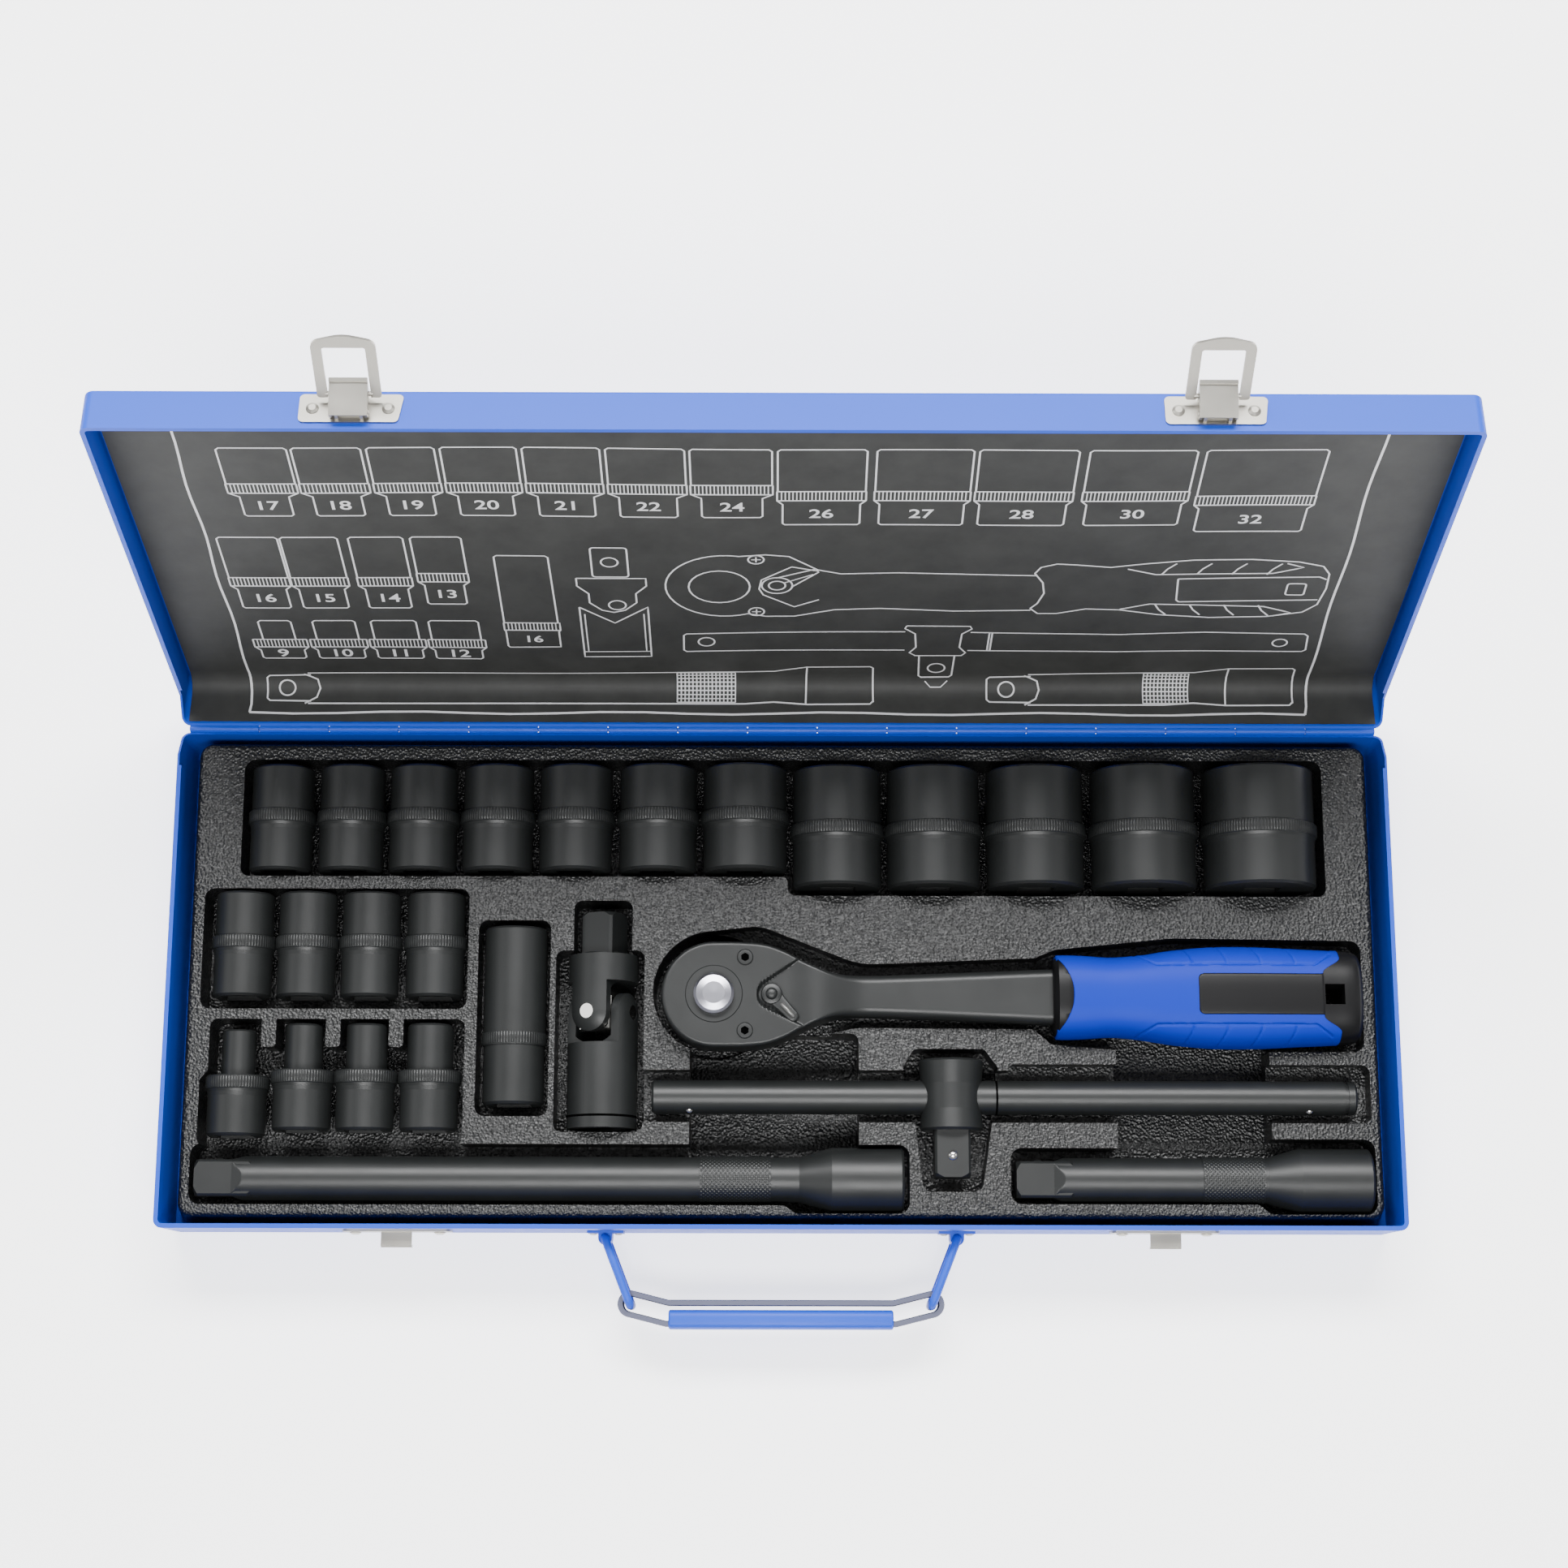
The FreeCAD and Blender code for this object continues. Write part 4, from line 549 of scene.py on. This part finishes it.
def card_print():
    """The drawings that show where each tool goes."""
    left, right, bottom = -194.2, 191.6, 183.4
    frame_line = [(left + 0.5 * math.sin(k * 0.9), 4 + k * 8.0) for k in range(23)]
    stroke(frame_line + [(left, bottom)], 0.85)
    frame_line = [(right + 0.5 * math.sin(k * 0.7 + 1), 4 + k * 8.0) for k in range(23)]
    stroke(frame_line + [(right - 1, bottom)], 0.85)
    stroke([(left + 16.0 * k, bottom + 0.5 * math.sin(k * 1.3)) for k in range(24)] + [(right - 1, bottom)], 0.85)

    x = -181.6
    for text, width, gap in (
        ("17", 22.6, 1.4), ("18", 22.3, 1.8), ("19", 21.7, 1.8), ("20", 24.4, 1.8), ("21", 24.9, 1.8), ("22", 25.4, 1.6),
        ("24", 26.5, 1.8), ("26", 28.8, 3.1), ("27", 31.1, 1.8), ("28", 31.9, 3.4), ("30", 34.5, 2.9), ("32", 39.1, 0.0),
    ):
        large = int(text) > 25
        grow = 1.4 if text == "32" else 0.0
        socket_icon(
            x, x + width, 23.0, (24.0 if large else 20.4) + 2 * grow, (14.4 if large else 13.6) + grow,
            text, 3.2 if not large else 1.6,
        )
        x += width + gap
    x = -190.6
    for text, width, gap in (("16", 20.4, 0.8), ("15", 19.4, 3.6), ("14", 18.4, 2.4), ("13", 17.2, 0.0)):
        nose = 23.0 if text == "13" else 25.6
        socket_icon(x, x + width, 75.6, nose, 14.4, text, 1.8, 0.0)
        x += width + gap
    x = -189.0
    for text, width, gap in (("9", 18.8, 1.6), ("10", 19.8, 1.4), ("11", 19.6, 1.4), ("12", 20.0, 0.0)):
        neck = {"9": 3.6, "10": 2.4, "11": 1.8, "12": 1.2}[text]
        socket_icon(x, x + width, 129.5, 13.0, 8.0, text, 1.6, neck)
        x += width + gap

    # the deep socket
    stroke([(-98.4, 130.6), (-98.4, 88), (-97.4, 87), (-81, 87), (-80, 88), (-79.4, 130.6)])
    stroke([(-98.6, 130.6), (-78.8, 130.6), (-78.8, 135.6), (-79.4, 136.4), (-79.4, 147), (-97.6, 147.4),
            (-98.2, 146.4), (-98.2, 136.4), (-98.6, 135.6), (-98.6, 130.6)])
    stroke([(-98.6, 135.6), (-78.8, 135.6)])
    hatch(-98.4, -79, 130.6, 135.6)
    number("16", -88.8, 141.8, 4.2)

    # the universal joint
    x = -59.2
    rounded_box(x - 6.2, 81.5, x + 6.2, 100, 1.2)
    circle(x, 90.6, 2.9)
    stroke([(x - 12, 101), (x + 12, 101), (x + 12, 106), (x + 8.2, 111), (x + 8.2, 117), (x + 4, 122), (x, 123.4),
            (x - 4, 122), (x - 8.2, 117), (x - 8.2, 111), (x - 12, 106), (x - 12, 101)])
    circle(x + 1.4, 118.6, 3.0)
    stroke([(x - 12, 120), (x - 12, 154), (x + 12, 154), (x + 12, 120), (x, 130.6)] + [(x - 12, 120)])
    stroke([(x - 10.4, 124.6), (x - 10.4, 150.4), (x + 10.4, 150.4), (x + 10.4, 124.6)], 0.5)
    stroke([(x - 12, 150.4), (x + 12, 150.4)], 0.5)

    # the ratchet
    y = 106.4
    head = [(-20 + 20.6 * math.cos(math.radians(a)), y + 20.2 * math.sin(math.radians(a))) for a in range(68, 293, 9)]
    stroke([(86.8, 121.6), (60, 122.6), (34, 121.4), (18, 122.6), (4, 127.0), (-6, 127.0)] + head
           + [(-6, 85.8), (2, 87.0), (12, 95.8), (20, 98.4), (40, 97.4), (60, 97.8), (86.8, 98.4)])
    circle(-22.0, y + 0.4, 10.6)
    for s in (y - 17.4, y + 17.4):
        circle(-9.2, s, 2.7)
        stroke([(-10.8, s), (-7.6, s)], 0.5)
        stroke([(-9.2, s - 1.6), (-9.2, s + 1.6)], 0.5)
    stroke([(12.2, 96.6), (3.0, 93.8), (-7.4, 102.4), (-8.2, y + 2), (-6.8, y + 6), (4.0, 120.6), (12.6, 115.8)])
    circle(-2.0, y - 0.2, 5.3)
    circle(-2.0, y - 0.2, 2.9)
    stroke([(-2.4, 101.2), (11.4, 95.2), (12.2, 97.4), (3.4, 106.8)])
    stroke([(0.2, 104.6), (10.4, 98.8)], 0.5)
    stroke([(86.4, 97.0), (88.2, 93.0), (93.6, 90.8), (100, 91.4), (112, 93.0), (124, 90.8), (140, 88.6), (160, 88.2),
            (176, 89.6), (184.6, 92.2), (187.4, 97.0), (187.8, 106.0), (186.4, 116.4), (182, 121.6), (170, 124.8),
            (150, 126.0), (132, 124.4), (118, 121.2), (106, 120.6), (96, 123.8), (89.4, 123.8), (86.6, 120.4)])
    stroke([(86.4, 97.0), (89.6, 103), (90.6, 110), (88.8, 117), (86.6, 120.4)])
    stroke([(136, 100.6), (184.4, 98.8), (187.0, 100.4)])
    stroke([(138, 115.6), (137, 114.4), (136, 100.6)])
    stroke([(138, 115.6), (186.0, 113.4)])
    for s, d in ((95.6, -1), (119.4, 1)):
        stroke([(118, s + d * 1.4), (128, s - d * 2.2), (168, s - d * 1.2), (178, s + d * 2.6), (172, s + d * 5.0)])
        for x in (130, 142, 154, 166):
            stroke([(x, s - d * 2.0), (x + 1.6, s + d * 1.4), (x + 4.4, s + d * 4.8)])
    rounded_box(174.2, 103.2, 180.6, 110.4, 1.0)

    # the T-bar
    stroke([(43.6, 137.2), (-34.2, 138.6), (-35.2, 139.6), (-35.4, 149.8), (-34.4, 150.8), (43.8, 149.8)])
    stroke([(66.8, 137.2), (120, 138.4), (150, 136.2), (185.4, 136.6), (186.8, 138), (187.6, 147.8), (186.4, 149),
            (150, 149.4), (120, 150.6), (66.4, 149.8)])
    stroke([(73.6, 137.4), (73.4, 150)])
    stroke([(74.6, 137.4), (74.4, 150)])
    circle(-27.2, 144.2, 2.9)
    circle(177.6, 143.0, 2.6)
    stroke([(44.0, 133.2), (66.4, 133.0), (67.2, 134.8), (63.8, 138.4), (63.4, 147.6), (65.8, 151.4), (64.4, 153.4),
            (47.8, 153.6), (45.6, 151.6), (47.8, 147.8), (47.2, 138.6), (43.4, 135.0), (44.0, 133.2)])
    stroke([(49.2, 153.6), (49.6, 167.6), (50.6, 168.4), (60.6, 168.2), (61.6, 167.2), (62.0, 153.4)])
    circle(55.8, 162.2, 3.1)
    stroke([(52.0, 170.2), (54.0, 172.6), (57.8, 172.6), (60.2, 170)], 0.4)

    # the two extension bars
    for tip, end, k0, k1 in ((-188.2, 32.9, -38.4, -17.2), (74.6, 186.2, 131.8, 148.2)):
        stroke([(tip + 16, 168.0), (tip + 1, 168.4), (tip, 169.4), (tip, 177.4), (tip + 1, 178.4), (tip + 16, 178.6)])
        circle(tip + 7.2, 173.4, 2.9)
        stroke([
            (tip + 13.6, 167.6), (tip + 18.4, 170.2), (tip + 19.2, 173.6), (tip + 18.0, 177.0), (tip + 13.8, 179.6),
        ])
        stroke([
            (tip + 15, 167.0), (end - 47, 165.6), (end - 36, 165.2), (end - 24, 162.2), (end - 1, 161.6), (end, 162.6),
        ])
        stroke([
            (tip + 15, 179.6), (end - 47, 179.4), (end - 36, 178.6), (end - 24, 179.6), (end - 1, 179.4), (end, 178.4),
        ])
        stroke([(end, 162.4), (end + 0.2, 178.6)])
        stroke([(end - 24, 162.2), (end - 24.4, 179.4)])
        for k in range(9):
            s = 166.2 + 12.6 * k / 8
            stroke([(k0, s), (k1, s)], 0.45)
        count = int((k1 - k0) / 1.35)
        for k in range(count + 1):
            xk = k0 + (k1 - k0) * k / count
            stroke([(xk, 166.2), (xk, 178.8)], 0.45)


card_print()
piece("lid_card_print", print_verts, print_faces, "printed_card", "lid", look=PRINT_WHITE)

# ---- Ratchet: head and shaft, screws, lever --------------------------------------
AXIS_X, AXIS_Y, TOP, BOTTOM = -24.0, -7.2, 37.6, 19.0
HEAD_R, PIVOT_X = 18.6, -3.6
OUTLINE = [
    (-24.0, 18.6), (-14.4, 18.55), (-5.7, 17.7), (1.0, 15.4), (6.8, 12.3), (14.5, 8.9), (20.3, 7.5), (28.0, 7.3),
    (49.0, 7.9), (97.5, 9.9),
]


def along(table, x):
    """A smooth curve through a table of (x, value...) rows."""
    if x <= table[0][0]:
        return table[0][1:]
    if x >= table[-1][0]:
        return table[-1][1:]
    k = max(i for i in range(len(table) - 1) if table[i][0] <= x)
    p = [table[max(0, k - 1)], table[k], table[k + 1], table[min(len(table) - 1, k + 2)]]
    span = p[2][0] - p[1][0]
    t = (x - p[1][0]) / span
    values = []
    for c in range(1, len(table[0])):
        m1 = (p[2][c] - p[0][c]) / (p[2][0] - p[0][0]) * span
        m2 = (p[3][c] - p[1][c]) / (p[3][0] - p[1][0]) * span
        values.append(
            (2 * t ** 3 - 3 * t * t + 1) * p[1][c] + (t ** 3 - 2 * t * t + t) * m1
            + (3 * t * t - 2 * t ** 3) * p[2][c] + (t ** 3 - t * t) * m2
        )
    return values


def recess(x, dy):
    """Depth of the fan-shaped hollow round the reversing lever."""
    px, r = x - PIVOT_X, 5.3
    up, low = math.radians(34), math.radians(27)
    if px * math.cos(up) + dy * math.sin(up) < 0 and px * math.cos(low) - dy * math.sin(low) < 0:
        inside = r - math.hypot(px, dy)
    else:
        inside = min(r + px * math.sin(up) - dy * math.cos(up), r + px * math.sin(low) + dy * math.cos(low))
    return 1.7 * smooth(inside / 0.55) * (1 - smooth((x - 1.5) / 11.0))


def ratchet_skin():
    xs = [AXIS_X - HEAD_R * math.cos(math.pi / 2 * k / 30) for k in range(31)]
    xs += [AXIS_X + 0.36 * k for k in range(1, 130)]
    xs += [xs[-1] + 1.35 * k for k in range(1, 58)]
    xs = [x for x in xs if x < 96.9] + [97.0]
    across = 64
    tops, bottoms = [], []
    for x in xs:
        w = math.sqrt(max(0.0, HEAD_R ** 2 - (x - AXIS_X) ** 2)) if x < AXIS_X else along(OUTLINE, x)[0]
        w = max(w, 0.02)
        drop = smooth((x - 12.0) / 19.0)
        top, bottom = TOP - 4.0 * drop, BOTTOM + 4.4 * drop
        radius = 1.3 + 1.9 * drop
        t_row, b_row = [], []
        for k in range(across + 1):
            dy = w * math.sin(math.pi / 2 * (2 * k / across - 1))
            d = HEAD_R - math.hypot(x - AXIS_X, dy) if x < AXIS_X else w - abs(dy)
            d = min(max(d, 0.0), radius)
            edge = radius - math.sqrt(max(0.0, radius ** 2 - (radius - d) ** 2))
            t_row.append((x, AXIS_Y + dy, top - edge - recess(x, dy)))
            b_row.append((x, AXIS_Y + dy, bottom + edge))
        tops.append(t_row)
        bottoms.append(b_row)
    verts, faces = rings([t + b[::-1] for t, b in zip(tops, bottoms)], closed_ends=True)
    skin = piece("ratchet_head", verts, faces, "black_phosphate_steel", "ratchet", angle=55)
    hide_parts("ratchet_body", "ratchet_cover")


def turned(name, profile, x, y, slot, body, count=64, hexagon=None, angle=35, look=None):
    """A piece turned about an upright axis; the last rows can be a hexagon recess (across flats, bottom z)."""
    rows = []
    for r, z in profile:
        rows.append([
            (x + r * math.cos(2 * math.pi * k / count), y + r * math.sin(2 * math.pi * k / count), z)
            for k in range(count)
        ])
    if hexagon:
        flats, low = hexagon
        for z in (profile[-1][1], low):
            row = []
            for k in range(count):
                a = 2 * math.pi * k / count
                r = flats / 2 / math.cos((a + math.pi / 6) % (math.pi / 3) - math.pi / 6)
                row.append((x + r * math.cos(a), y + r * math.sin(a), z))
            rows.append(row)
    verts, faces = rings(rows, closed_ends=True)
    return piece(name, verts, faces, slot, body, angle=angle, look=look)


def screws():
    made = []
    for k, dy in enumerate((13.0, -13.0)):
        x, y = AXIS_X + 11.0, AXIS_Y + dy
        made.append(turned(
            "cover_screw_%d" % (k + 1),
            [(2.3, TOP - 3.0), (2.9, TOP - 3.0), (2.9, TOP + 0.15), (2.55, TOP + 0.45), (1.95, TOP + 0.5)],
            x, y, "black_phosphate_steel", "ratchet", hexagon=(2.7, TOP + 0.05),
        ))
        # A near-black disc of painted shade inside each screw's hex socket, standing in for the socket's depth.
        made.append(turned(
            "cover_screw_%d_socket" % (k + 1),
            [(0.02, TOP - 1.0), (1.5, TOP - 1.0), (1.5, TOP + 0.08), (0.02, TOP + 0.08)],
            x, y, "black_phosphate_steel", "ratchet", look=PAINTED_SHADE,
        ))
    for obj in made:
        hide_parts("ratchet_cover_screws")


def reversing_lever():
    base = TOP - 1.55
    hub = [
        (0.02, base), (3.5, base), (3.75, base + 0.3), (3.75, base + 1.5), (3.45, base + 2.0), (2.7, base + 2.25),
        (2.1, base + 2.3), (1.95, base + 2.9), (1.5, base + 3.3), (0.8, base + 3.5), (0.02, base + 3.55),
    ]
    hub_obj = turned("lever_hub", hub, PIVOT_X, AXIS_Y, "black_phosphate_steel", "reversing_lever", count=48)
    c, s = math.cos(math.radians(-46)), math.sin(math.radians(-46))
    rows = []
    for t, half, low, high in (
        (2.2, 2.9, 0.1, 1.7), (4.5, 2.5, 0.1, 1.75), (8.0, 2.2, 0.2, 1.8), (11.0, 2.1, 0.3, 1.9), (12.2, 1.7, 0.5, 1.8),
        (12.7, 0.9, 0.8, 1.5),
    ):
        row = []
        for k in range(20):
            a = 2 * math.pi * k / 20
            u = half * math.copysign(abs(math.cos(a)) ** 0.5, math.cos(a))
            v = (low + high) / 2 + (high - low) / 2 * math.copysign(abs(math.sin(a)) ** 0.6, math.sin(a))
            row.append((PIVOT_X + t * c - u * s, AXIS_Y + t * s + u * c, base + v))
        rows.append(row)
    verts, faces = rings(rows, closed_ends=True)
    arm = piece("lever_arm", verts, faces, "black_phosphate_steel", "reversing_lever", angle=50)
    rows = []
    for t, half, high in ((4.6, 0.3, 1.7), (5.2, 0.85, 2.6), (8.0, 0.95, 2.9), (11.0, 0.85, 2.9), (11.8, 0.3, 2.0)):
        row = []
        for k in range(16):
            a = 2 * math.pi * k / 16
            u, v = half * math.cos(a), 1.5 + (high - 1.5) * math.sin(a)
            row.append((PIVOT_X + t * c - u * s, AXIS_Y + t * s + u * c, base + v))
        rows.append(row)
    verts, faces = rings(rows, closed_ends=True)
    # The rib takes the lighter metal, a painted highlight along the lever's ridge.
    rib = piece("lever_rib", verts, faces, "black_phosphate_steel", "reversing_lever", angle=50, look=RIB_HIGHLIGHT)
    for obj in (hub_obj, arm, rib):
        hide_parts("reversing_lever")


def cut_box(obj, low, high):
    """Cuts a square-cornered hole out of a piece."""
    verts = [(x, y, z) for z in (low[2], high[2]) for y in (low[1], high[1]) for x in (low[0], high[0])]
    faces = [(0, 2, 3, 1), (4, 5, 7, 6), (0, 1, 5, 4), (2, 6, 7, 3), (0, 4, 6, 2), (1, 3, 7, 5)]
    mesh = bpy.data.meshes.new("cutter")
    mesh.from_pydata([Vector(v) * MM for v in verts], [], faces)
    cutter = bpy.data.objects.new("cutter", mesh)
    bpy.context.scene.collection.objects.link(cutter)
    cut = obj.modifiers.new("cut", "BOOLEAN")
    cut.operation, cut.solver, cut.object = "DIFFERENCE", "EXACT", cutter
    bpy.context.view_layer.update()
    whole = obj.data
    obj.data = bpy.data.meshes.new_from_object(obj.evaluated_get(bpy.context.evaluated_depsgraph_get()))
    obj.modifiers.remove(cut)
    bpy.data.objects.remove(cutter)
    bpy.data.meshes.remove(mesh)
    bpy.data.meshes.remove(whole)
    obj.data.set_sharp_from_angle(angle=math.radians(50))


# ---- Ratchet: moulded grip -------------------------------------------------------
GRIP = [
    (96.2, 14.6, 12.0), (100.0, 14.9, 12.1), (107.0, 14.7, 12.0), (117.0, 14.1, 11.9), (127.0, 14.9, 12.2),
    (138.0, 16.6, 12.6), (150.0, 17.8, 13.0), (160.0, 18.1, 13.2), (172.0, 17.9, 13.1), (184.0, 17.3, 12.8),
    (195.0, 16.8, 12.4), (202.0, 16.3, 12.0), (206.0, 15.2, 10.8),
]
GRIP_Z = 28.2


def grip_point(x, a, sink=0.0):
    ry, rz = along(GRIP, x)
    c, s = math.cos(a), math.sin(a)
    return (
        x,
        AXIS_Y + (ry - sink) * math.copysign(abs(c) ** 0.74, c),
        GRIP_Z + (rz - sink) * math.copysign(abs(s) ** 0.74, s),
    )


def to_line(px, py, ax, ay, bx, by):
    """Distance of a point from the line between two others."""
    dx, dy = bx - ax, by - ay
    t = min(1.0, max(0.0, ((px - ax) * dx + (py - ay) * dy) / (dx * dx + dy * dy)))
    return math.hypot(px - ax - t * dx, py - ay - t * dy)


def grip_cut(x, dy, above):
    """Depth of the moulded grooves of the two ribbed side panels."""
    if not above:
        return 0.0
    q = abs(dy)
    d = min(
        to_line(x, q, 125.5, 14.6, 132.6, 10.8), to_line(x, q, 132.6, 10.8, 188.6, 10.8),
        to_line(x, q, 188.6, 10.8, 194.2, 14.6),
    )
    depth = 0.50 * (1 - smooth(d / 0.62))
    if q > 10.8:
        bow = 3.0 * ((q - 10.8) / 6.5) ** 1.6
        for k in range(4):
            depth = max(depth, 0.50 * (1 - smooth(abs(x - (145.4 + 12.1 * k - bow)) / 0.6)))
        if 127.5 + (14.6 - q) * 1.4 < x < 193 - (14.6 - q) * 1.2:
            depth = max(depth, 0.10)
    return depth


def grip_end(dy):
    """Where the blue sleeve gives way to the black end at this distance from the middle."""
    q = abs(dy)
    return 191.4 + 6.4 * smooth((q - 7.4) / 5.6) if q > 7.1 else 188.6


def grip_start(dy):
    """Where the blue sleeve begins at this distance from the middle."""
    return 97.4 + 5.6 * max(0.0, 1 - (dy / 14.5) ** 2)


def grip_skins():
    around, steps = 200, 250
    rows = []
    for j in range(steps + 1):
        row = []
        for k in range(around):
            a = 2 * math.pi * (k + 0.5) / around
            _, y, _ = grip_point(150.0, a)
            dy = (y - AXIS_Y) * 0.92
            x0, x1 = grip_start(dy), grip_end(dy)
            x = x0 + (x1 - x0) * j / steps
            _, y, z = grip_point(x, a)
            sink = grip_cut(x, y - AXIS_Y, z > GRIP_Z + 1.0)
            if j == 0 or j == steps:
                sink += 0.5
            row.append(grip_point(x, a, sink))
        rows.append(row)
    for row in (rows[-1], rows[0]):
        rows.append([(x, AXIS_Y + (y - AXIS_Y) * 0.86, GRIP_Z + (z - GRIP_Z) * 0.86) for x, y, z in row])
    verts, faces = rings(rows)
    sleeve = piece("grip_sleeve_skin", verts, faces, "blue_grip", "ratchet", angle=60)
    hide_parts("grip_sleeve")

    rows = []
    stations = [96.3, 96.8, 98.0] + [98.0 + 1.6 * k for k in range(1, 57)] + [188.4 + 0.35 * k for k in range(1, 45)]
    stations += [204.2, 205.0, 205.5]
    for x in stations:
        row = []
        for k in range(around):
            a = 2 * math.pi * (k + 0.5) / around
            _, y, _ = grip_point(x, a)
            under = x < grip_end((y - AXIS_Y) * 0.95) - 0.5 and 97.9 < x
            sink = 0.9 if under and x > grip_start((y - AXIS_Y) * 0.95) + 1.0 else 0.08
            if x > 203.9:
                sink = {204.2: 0.3, 205.0: 0.9, 205.5: 1.9}[x]
            if x < 97.9:
                sink = {96.3: 2.6, 96.8: 1.6}[x]
            row.append(grip_point(x, a, sink))
        rows.append(row)
    verts, faces = rings(rows, closed_ends=True)
    core = piece("grip_core_skin", verts, faces, "black_grip", "ratchet", angle=50)
    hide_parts("grip_core")

    # the flat panel let into the top, running into the black end
    verts = []
    cols, lines = 120, 44
    for level in (0.22, -1.2):
        for j in range(lines + 1):
            dy = -7.3 + 14.6 * j / lines
            for i in range(cols + 1):
                edge = abs(dy) - 5.3
                x0 = 147.0 + (2.0 - math.sqrt(max(0.0, 4.0 - edge * edge)) if edge > 0 else 0.0)
                x = x0 + (191.3 - x0) * i / cols
                ry, rz = along(GRIP, x)
                c = min(1.0, abs(dy) / ry) ** (1 / 0.74)
                z = GRIP_Z + rz * math.sqrt(1 - c * c) ** 0.74
                rim = min(7.3 - abs(dy), x - x0, 191.3 - x, 3.0)
                lift = level - 0.22 * (1 - smooth(rim / 0.5)) if level > 0 else level
                verts.append((x, AXIS_Y + dy, z + lift))
    panel = piece("grip_panel", verts, sheet_faces(cols, lines), "black_grip", "ratchet", angle=60)
    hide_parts("grip_core")

    # the square hanging hole through the end
    x0, x1, half = 191.6, 198.6, 3.6
    for target in (core, sleeve):
        cut_box(target, (x0, AXIS_Y - half, 8.0), (x1, AXIS_Y + half, 48.0))


ratchet_skin()
screws()
reversing_lever()
grip_skins()

# ---- Floor, light and camera -----------------------------------------------------
floor_mat = bpy.data.materials.new("floor_white")
floor_mat.use_nodes = True
shader = floor_mat.node_tree.nodes["Principled BSDF"]
shader.inputs["Base Color"].default_value = (0.90, 0.90, 0.90, 1)
shader.inputs["Roughness"].default_value = 0.9
shader.inputs["Emission Color"].default_value = (1.0, 1.0, 1.0, 1)
shader.inputs["Emission Strength"].default_value = 2.0
shader.inputs["Specular IOR Level"].default_value = 0.1
floor_mesh = bpy.data.meshes.new("floor")
FAR, UNDER = 30, -0.0002
floor_mesh.from_pydata(
    [(-FAR, -FAR, UNDER), (FAR, -FAR, UNDER), (FAR, FAR, UNDER), (-FAR, FAR, UNDER)], [], [(0, 1, 2, 3)],
)
floor = bpy.data.objects.new("floor", floor_mesh)
bpy.context.scene.collection.objects.link(floor)
floor_mesh.materials.append(floor_mat)

world = bpy.data.worlds.new("studio")
bpy.context.scene.world = world
world.use_nodes = True
world.node_tree.nodes["Background"].inputs["Color"].default_value = (1.0, 1.0, 1.0, 1)
world.node_tree.nodes["Background"].inputs["Strength"].default_value = 0.36


def area_light(name, place, size, power):
    """A soft rectangular lamp that points at the middle of the case."""
    data = bpy.data.lights.new(name, "AREA")
    data.shape = "RECTANGLE"
    data.size, data.size_y = size
    data.energy = power
    lamp = bpy.data.objects.new(name, data)
    bpy.context.scene.collection.objects.link(lamp)
    lamp.location = place
    lamp.rotation_mode = "QUATERNION"
    lamp.rotation_quaternion = (-Vector(place)).to_track_quat("-Z", "Y")


area_light("top_soft", (0.0, 0.98, 1.42), (1.5, 0.45), 66.0)
area_light("over_soft", (0.0, -0.75, 1.65), (1.0, 0.5), 36.0)
area_light("left_soft", (-1.5, 0.1, 1.1), (0.5, 0.8), 4.0)
area_light("right_soft", (1.5, 0.1, 1.1), (0.5, 0.8), 3.0)

ELEVATION, AZIMUTH, ROLL = math.radians(76.904), math.radians(0.3465), math.radians(0.4824)
forward = Vector((
    math.sin(AZIMUTH) * math.cos(ELEVATION), math.cos(AZIMUTH) * math.cos(ELEVATION), -math.sin(ELEVATION),
))
level = Vector((math.cos(AZIMUTH), -math.sin(AZIMUTH), 0))
above = level.cross(forward)
right = level * math.cos(ROLL) + above * math.sin(ROLL)
up = above * math.cos(ROLL) - level * math.sin(ROLL)
cam_data = bpy.data.cameras.new("camera")
cam_data.lens = 63.6
cam_data.sensor_width = 36.0
cam_data.shift_y = -0.0445
cam_data.clip_start, cam_data.clip_end = 0.05, 50
camera = bpy.data.objects.new("camera", cam_data)
bpy.context.scene.collection.objects.link(camera)
camera.rotation_mode = "QUATERNION"
camera.rotation_quaternion = Matrix((right, up, -forward)).transposed().to_quaternion()
camera.location = Vector((-0.8, -132.8, 1013.4)) * MM
bpy.context.scene.camera = camera
